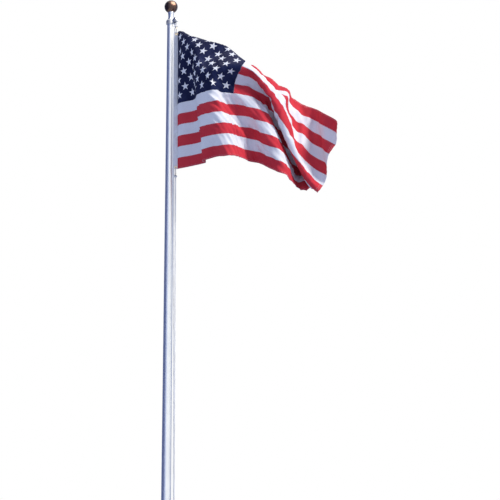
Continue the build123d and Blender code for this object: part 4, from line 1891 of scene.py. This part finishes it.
@dataclass
class Drape:
    """The flag's cloth as a grid that relaxes until its threads have their woven length."""

    top: Point = (0.0463, HEADING_Y, 6.0)
    across_shift: float = 0.004
    across: int = 77
    down: int = 47
    stages: tuple[Stiffness, ...] = (
        Stiffness(400, 30, 5, 1.0, 300),
        Stiffness(500, 200, 30, 0.6, 100),
        Stiffness(600, 1500, 150, 0.5, 50),
        Stiffness(800, 8000, 600, 0.6, 20),
        Stiffness(800, 20000, 1500, 0.8, 10),
    )
    remembered: int = 20
    halvings: int = 12
    first_reach: float = 1e-3
    least_gain: float = 1e-4

    def __post_init__(self) -> None:
        """Works out the holds' places on the grid and in the frame."""
        self.shape = (self.across, self.down, 3)
        self.pitch = (FLY / (self.across - 1), HOIST / (self.down - 1))
        seats, targets, sight = [], [], []
        for along, stripe, across, drop, toward in (hold for group in HOLDS.values() for hold in group):
            seen = np.array(self.top) + (across + self.across_shift, 0.0, -drop)
            ray = (np.array(EYE) - seen) / (seen[1] - EYE[1])
            seats.append((along / self.pitch[0], stripe * HOIST / STRIPES / self.pitch[1]))
            targets.append(seen + ray * toward)
            sight.append(ray / np.linalg.norm(ray))
        self.seats, self.targets, self.sight = np.array(seats), np.array(targets), np.array(sight)
        self.hoist = np.array(self.top) + np.outer(np.linspace(0, HOIST, self.down), HANG)

    def first_guess(self) -> np.ndarray:
        """A smooth sheet through the holds and the hoist: a sum of distances to each.

        Returns:
            The sheet, as a grid of places.
        """
        rows = np.linspace(0, self.down - 1, 9)
        knots = np.vstack([self.seats, np.stack([0 * rows, rows], -1)]) * self.pitch
        hoist = np.array(self.top) + np.outer(rows * self.pitch[1], HANG)
        values = np.vstack([self.targets, hoist])
        count = len(knots)
        system = np.zeros((count + 3, count + 3))
        system[:count, :count] = -np.linalg.norm(knots[:, None] - knots, axis=-1) + 0.03 * np.eye(count)
        system[:count, count:] = np.hstack([np.ones((count, 1)), knots])
        system[count:, :count] = system[:count, count:].T
        weights = np.linalg.solve(system, np.vstack([values, np.zeros((3, 3))]))
        grid = np.stack(np.meshgrid(*map(np.arange, self.shape[:2]), indexing="ij"), -1) * self.pitch
        far = np.linalg.norm(grid[:, :, None] - knots, axis=-1)
        sheet = -far @ weights[:count] + weights[count] + grid @ weights[count + 1 :]
        sheet[0] = self.hoist
        return sheet

    def strain(self, flat: np.ndarray, way: Stiffness) -> tuple[float, np.ndarray]:
        """Energy of the sheet and its slope at each corner.

        Args:
            flat: The corners' places, one after another.
            way: The stiffness of this stage.

        Returns:
            The energy and its slope.
        """
        sheet = flat.reshape(self.shape)
        slope = np.zeros(self.shape)
        total = 0.0
        wide, high = self.pitch
        cross = float(np.hypot(wide, high))
        whole, head, tail = slice(None), slice(None, -1), slice(1, None)
        springs = (
            ((head, whole), (tail, whole), wide, way.stretch),
            ((whole, head), (whole, tail), high, way.stretch),
            ((head, head), (tail, tail), cross, way.shear),
            ((head, tail), (tail, head), cross, way.shear),
        )
        for start, end, length, stiffness in springs:
            run = sheet[end] - sheet[start]
            size = np.sqrt((run * run).sum(-1, keepdims=True)) + 1e-9
            over = size / length - 1
            total += stiffness * float((over**2).sum())
            pull = 2 * stiffness / length * over * run / size
            slope[end] += pull
            slope[start] -= pull
        for axis, length in ((0, wide), (1, high)):
            moved, bent = np.moveaxis(sheet, axis, 0), np.moveaxis(slope, axis, 0)
            curl = moved[2:] - 2 * moved[1:-1] + moved[:-2]
            stiffness = way.bend / length**2
            total += stiffness * float((curl**2).sum())
            bent[2:] += 2 * stiffness * curl
            bent[1:-1] -= 4 * stiffness * curl
            bent[:-2] += 2 * stiffness * curl
        total += self._hold(sheet, slope, way)
        slope[0] = 0
        return total, slope.ravel()

    def _hold(self, sheet: np.ndarray, slope: np.ndarray, way: Stiffness) -> float:
        """Adds the pull of the holds, strong across the line of sight and weak along it.

        Args:
            sheet: The grid.
            slope: The slope so far, which is added to.
            way: The stiffness of this stage.

        Returns:
            The holds' energy.
        """
        corner = np.minimum(self.seats.astype(int), np.array(self.shape[:2]) - 2)
        part = self.seats - corner
        shares = []
        for i in (0, 1):
            for j in (0, 1):
                share = (part[:, 0] if i else 1 - part[:, 0]) * (part[:, 1] if j else 1 - part[:, 1])
                shares.append((corner[:, 0] + i, corner[:, 1] + j, share[:, None]))
        off = sum(sheet[i, j] * share for i, j, share in shares) - self.targets
        along = (off * self.sight).sum(-1, keepdims=True) * self.sight
        seen = off - along
        pull = 2 * way.seen * seen + 2 * way.depth * along
        for i, j, share in shares:
            np.add.at(slope, (i, j), pull * share)
        return way.seen * float((seen**2).sum()) + way.depth * float((along**2).sum())

    def settle(self, flat: np.ndarray, way: Stiffness) -> np.ndarray:
        """Goes downhill in the energy, led by the last steps that it remembers.

        Args:
            flat: The corners' places at the start.
            way: The stiffness and number of steps.

        Returns:
            The corners' places at the end.
        """
        energy, slope = self.strain(flat, way)
        past: list[tuple[np.ndarray, np.ndarray, float]] = []
        for _ in range(way.steps):
            course = slope.copy()
            shares = []
            for move, turn, scale in reversed(past):
                share = scale * float(move @ course)
                shares.append(share)
                course -= share * turn
            if past:
                _, turn, scale = past[-1]
                course *= 1 / (scale * float(turn @ turn))
            else:
                course *= self.first_reach / np.linalg.norm(course)
            for (move, turn, scale), share in zip(past, reversed(shares)):
                course += move * (share - scale * float(turn @ course))
            reach, descent = 1.0, float(slope @ course)
            for _ in range(self.halvings):
                trial = flat - reach * course
                new_energy, new_slope = self.strain(trial, way)
                if new_energy <= energy - self.least_gain * reach * descent:
                    break
                reach *= 0.5
            else:
                past.clear()
                continue
            move, turn = trial - flat, new_slope - slope
            dot = float(move @ turn)
            if dot > 1e-12:
                past = (past + [(move, turn, 1 / dot)])[-self.remembered :]
            flat, energy, slope = trial, new_energy, new_slope
        return flat

    def relax(self) -> np.ndarray:
        """The relaxed sheet, as a grid of places.

        Returns:
            The grid.
        """
        flat = self.first_guess().ravel()
        for way in self.stages:
            flat = self.settle(flat, way)
        return flat.reshape(self.shape)

    @staticmethod
    def refine(sheet: np.ndarray, across: int, down: int) -> np.ndarray:
        """A finer grid on the same smooth surface.

        Args:
            sheet: The grid.
            across: Columns wanted.
            down: Rows wanted.

        Returns:
            The finer grid.
        """
        for axis, count in ((0, across), (1, down)):
            old = sheet.shape[axis]
            at = np.linspace(0, old - 1, count)
            low = np.minimum(at.astype(int), old - 2)
            t = (at - low)[:, None, None]
            moved = np.moveaxis(sheet, axis, 0)
            first = np.concatenate([2 * moved[:1] - moved[1:2], moved, 2 * moved[-1:] - moved[-2:-1]])
            a, b, c, d = (first[low + k] for k in range(4))
            square, cube = 2 * a - 5 * b + 4 * c - d, 3 * b - a - 3 * c + d
            fine = 0.5 * (2 * b + (c - a) * t + square * t**2 + cube * t**3)
            sheet = np.moveaxis(fine, 0, axis)
        return sheet


@dataclass(frozen=True)
class Ripples:
    """Ripples along a line of stitches that die away beside it."""

    height: float
    wave: float
    reach: float

    def lift(self, run: np.ndarray, sway: np.ndarray, off: np.ndarray) -> np.ndarray:
        """Works out their height.

        Args:
            run: Metres along the line.
            sway: What shifts the ripples unevenly.
            off: Metres from the line.

        Returns:
            The height of each point.
        """
        fading = np.exp(-((off / self.reach) ** 2))
        return self.height * np.sin(run * 2 * math.pi / self.wave + sway) * fading


@dataclass
class Wrinkles:
    """Small creases and puckers that lift the cloth along its normals."""

    seed: int = 7
    creases: int = 38
    steepness: float = 0.046
    flat_hoist: float = 0.05
    seams: Ripples = Ripples(0.0006, 0.021, 0.012)
    fly: Ripples = Ripples(0.0008, 0.033, 0.05)
    edges: Ripples = Ripples(0.0007, 0.037, 0.03)

    def _creases(self, u: np.ndarray, v: np.ndarray) -> np.ndarray:
        """Height of the creases that run down the pull of the cloth, patch by patch.

        Args:
            u: Metres along the fly of each point.
            v: Metres down of each point.

        Returns:
            The height.
        """
        rng = np.random.default_rng(self.seed)
        lift = np.zeros(u.shape)
        for patch in range(self.creases):
            slant = rng.normal(0.95, 0.28)
            wave = rng.uniform(0.018, 0.060)
            phase = rng.uniform(0, 2 * math.pi)
            low, high = ((0.1, 0.05), (FLY, HOIST)) if patch % 2 else ((0.35, 0.40), (1.10, 0.90))
            middle = rng.uniform(low, high)
            size = rng.uniform(0.12, 0.34)
            cross = (u - middle[0]) * math.sin(slant) - (v - middle[1]) * math.cos(slant)
            along = (u - middle[0]) * math.cos(slant) + (v - middle[1]) * math.sin(slant)
            mask = np.exp(-((cross / (0.45 * size)) ** 2) - (along / size) ** 2)
            bend = phase + 0.9 * np.sin(along * 14.0 + phase)
            lift += mask * np.sin(2 * math.pi * cross / wave + bend) * wave * self.steepness
        return lift

    def lift(self, sheet: np.ndarray, u: np.ndarray, v: np.ndarray) -> np.ndarray:
        """Lifts the cloth.

        Args:
            sheet: The fine grid.
            u: Metres along the fly of each point.
            v: Metres down of each point.

        Returns:
            The wrinkled grid.
        """
        normal = np.cross(np.gradient(sheet, axis=0), np.gradient(sheet, axis=1))
        normal /= np.linalg.norm(normal, axis=-1, keepdims=True)
        lift = self._creases(u, v)
        off_canton = 1.0 - (u < CANTON[0]) * (v < CANTON[1] - 0.01)
        lift += self.seams.lift(u, 1.7 * np.sin(u * 31.0 + 9.0 * v), from_seam(v)) * off_canton
        lift += self.fly.lift(v, 2.0 * np.sin(v * 23.0), FLY - u)
        lift += self.edges.lift(u, 2.0 * np.sin(u * 19.0), np.minimum(v, HOIST - v))
        lift *= np.clip(u / self.flat_hoist, 0, 1)
        return sheet + normal * lift[..., None]


def from_seam(down: np.ndarray) -> np.ndarray:
    """Distance from the nearest seam between two stripes."""
    return np.abs(down - np.round(down / STRIPE) * STRIPE)


def metres(width: float, height: float, columns: int, rows: int) -> tuple[np.ndarray, np.ndarray]:
    """Metres across and down at each point of an even grid."""
    return tuple(np.meshgrid(np.linspace(0, width, columns), np.linspace(0, height, rows), indexing="ij"))


@dataclass
class Flag:
    """The heading, the cloth with its hems and seams, and how it hangs."""

    across: int = 261
    down: int = 157
    thickness: float = 0.0014
    plain_share: float = 0.36
    seam_share: float = 0.7
    seam_half: float = 0.002
    edge_hem: float = 0.0125
    fly_hem: float = 0.0255
    heading_columns: int = 13
    heading_rows: int = 229
    heading_width: float = 0.030
    heading_thickness: float = 0.0022
    heading_rounding: float = 0.0006
    punch_radius: float = 0.0062

    def build(self) -> None:
        """Builds the heading and the cloth."""
        heading = self._heading()
        cloth = self._cloth()

    def _heading(self) -> Piece:
        """The folded canvas band with holes for the grommets.

        Returns:
            The heading.
        """
        u, v = metres(self.heading_width, HOIST, self.heading_columns, self.heading_rows)
        low, high = box_corners("flag_heading")
        start = np.array((low.x, HEADING_Y, high.z))
        swell = 0.0005 * np.sin(v * 41.0) * np.sin(u / self.heading_width * math.pi)
        points = start + v[..., None] * HANG + np.stack([u, swell + 0.0003 * np.sin(v * 160.0), 0 * u], -1)
        piece = Bench.grid("flag_heading_canvas", points)
        Bench.paint(piece, "cloth", u, v)
        self._thicken(piece, self.heading_thickness)
        Bench.round_edges(piece, self.heading_rounding, 2)
        for name in ("upper", "lower"):
            self._punch(piece, sum(box_corners(f"grommet_{name}"), Vector()) / 2)
        Bench.smooth(piece, 50.0)
        return Bench.hand_over(piece, CANVAS, Body.FLAG, "flag_heading")

    def _punch(self, piece: Piece, middle: Vector) -> None:
        """Cuts a grommet's hole through the heading.

        Args:
            piece: The heading.
            middle: The hole's centre.
        """
        Bench.clear()
        across = (math.pi / 2, 0, 0)
        bpy.ops.mesh.primitive_cylinder_add(
            vertices=40, radius=self.punch_radius, depth=0.02, location=middle, rotation=across
        )
        punch = bpy.context.object
        Bench.apply(piece, "BOOLEAN", object=punch, operation="DIFFERENCE", solver="EXACT")
        bpy.data.objects.remove(punch)

    @staticmethod
    def _thicken(piece: Piece, thickness: float, group: str = "") -> None:
        """Gives a sheet its thickness, evenly about its middle.

        Args:
            piece: The sheet.
            thickness: Its greatest thickness.
            group: Vertex group that scales it, if one does.
        """
        Bench.apply(
            piece, "SOLIDIFY", thickness=thickness, offset=0.0, vertex_group=group, thickness_vertex_group=0.0
        )

    def _cloth(self) -> Piece:
        """The cloth, relaxed, wrinkled and given its thickness.

        Returns:
            The cloth.
        """
        coarse = Drape().relax()
        log.info("the cloth has relaxed")
        u, v = metres(FLY, HOIST, self.across, self.down)
        sheet = Wrinkles().lift(Drape.refine(coarse, self.across, self.down), u, v)
        piece = Bench.grid("flag_cloth_nylon", sheet)
        Bench.paint(piece, "cloth", u, v)
        self._weigh(piece, u, v)
        self._thicken(piece, self.thickness, "layers")
        return Bench.hand_over(piece, CLOTH, Body.FLAG, "flag_cloth")

    def _weigh(self, piece: Piece, u: np.ndarray, v: np.ndarray) -> None:
        """Marks the hems and seams, where the cloth is folded double, in a vertex group.

        Args:
            piece: The cloth.
            u: Metres along the fly of each point.
            v: Metres down of each point.
        """
        half = self.seam_half
        share = np.full(u.shape, self.plain_share)
        canton = (u < CANTON[0] - half) & (v < CANTON[1] - half)
        share[(from_seam(v) < half) & ~canton] = self.seam_share
        share[(np.abs(u - CANTON[0]) < half) & (v < CANTON[1])] = self.seam_share
        share[(np.minimum(v, HOIST - v) < self.edge_hem) | (FLY - u < self.fly_hem)] = 1.0
        group = piece.vertex_groups.new(name="layers")
        flat = share.ravel()
        for weight in np.unique(flat):
            group.add(np.flatnonzero(flat == weight).tolist(), float(weight), "REPLACE")


# ---- the whole flagpole ----------------------------------------------------------


def main() -> None:
    """Builds every sub-assembly in order."""
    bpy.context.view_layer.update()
    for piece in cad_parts.values():
        piece.select_set(False)
    shaft = Shaft()
    for assembly in (Studio(), Halyard(), ShoeBase(), shaft, Cleat(shaft), Truck(), SnapHooks(), Flag()):
        assembly.build()
        log.info("%s built", type(assembly).__name__)
    bpy.context.scene.view_settings.view_transform = "Standard"
    Bench.clear()


if __name__ == "__main__":
    main()
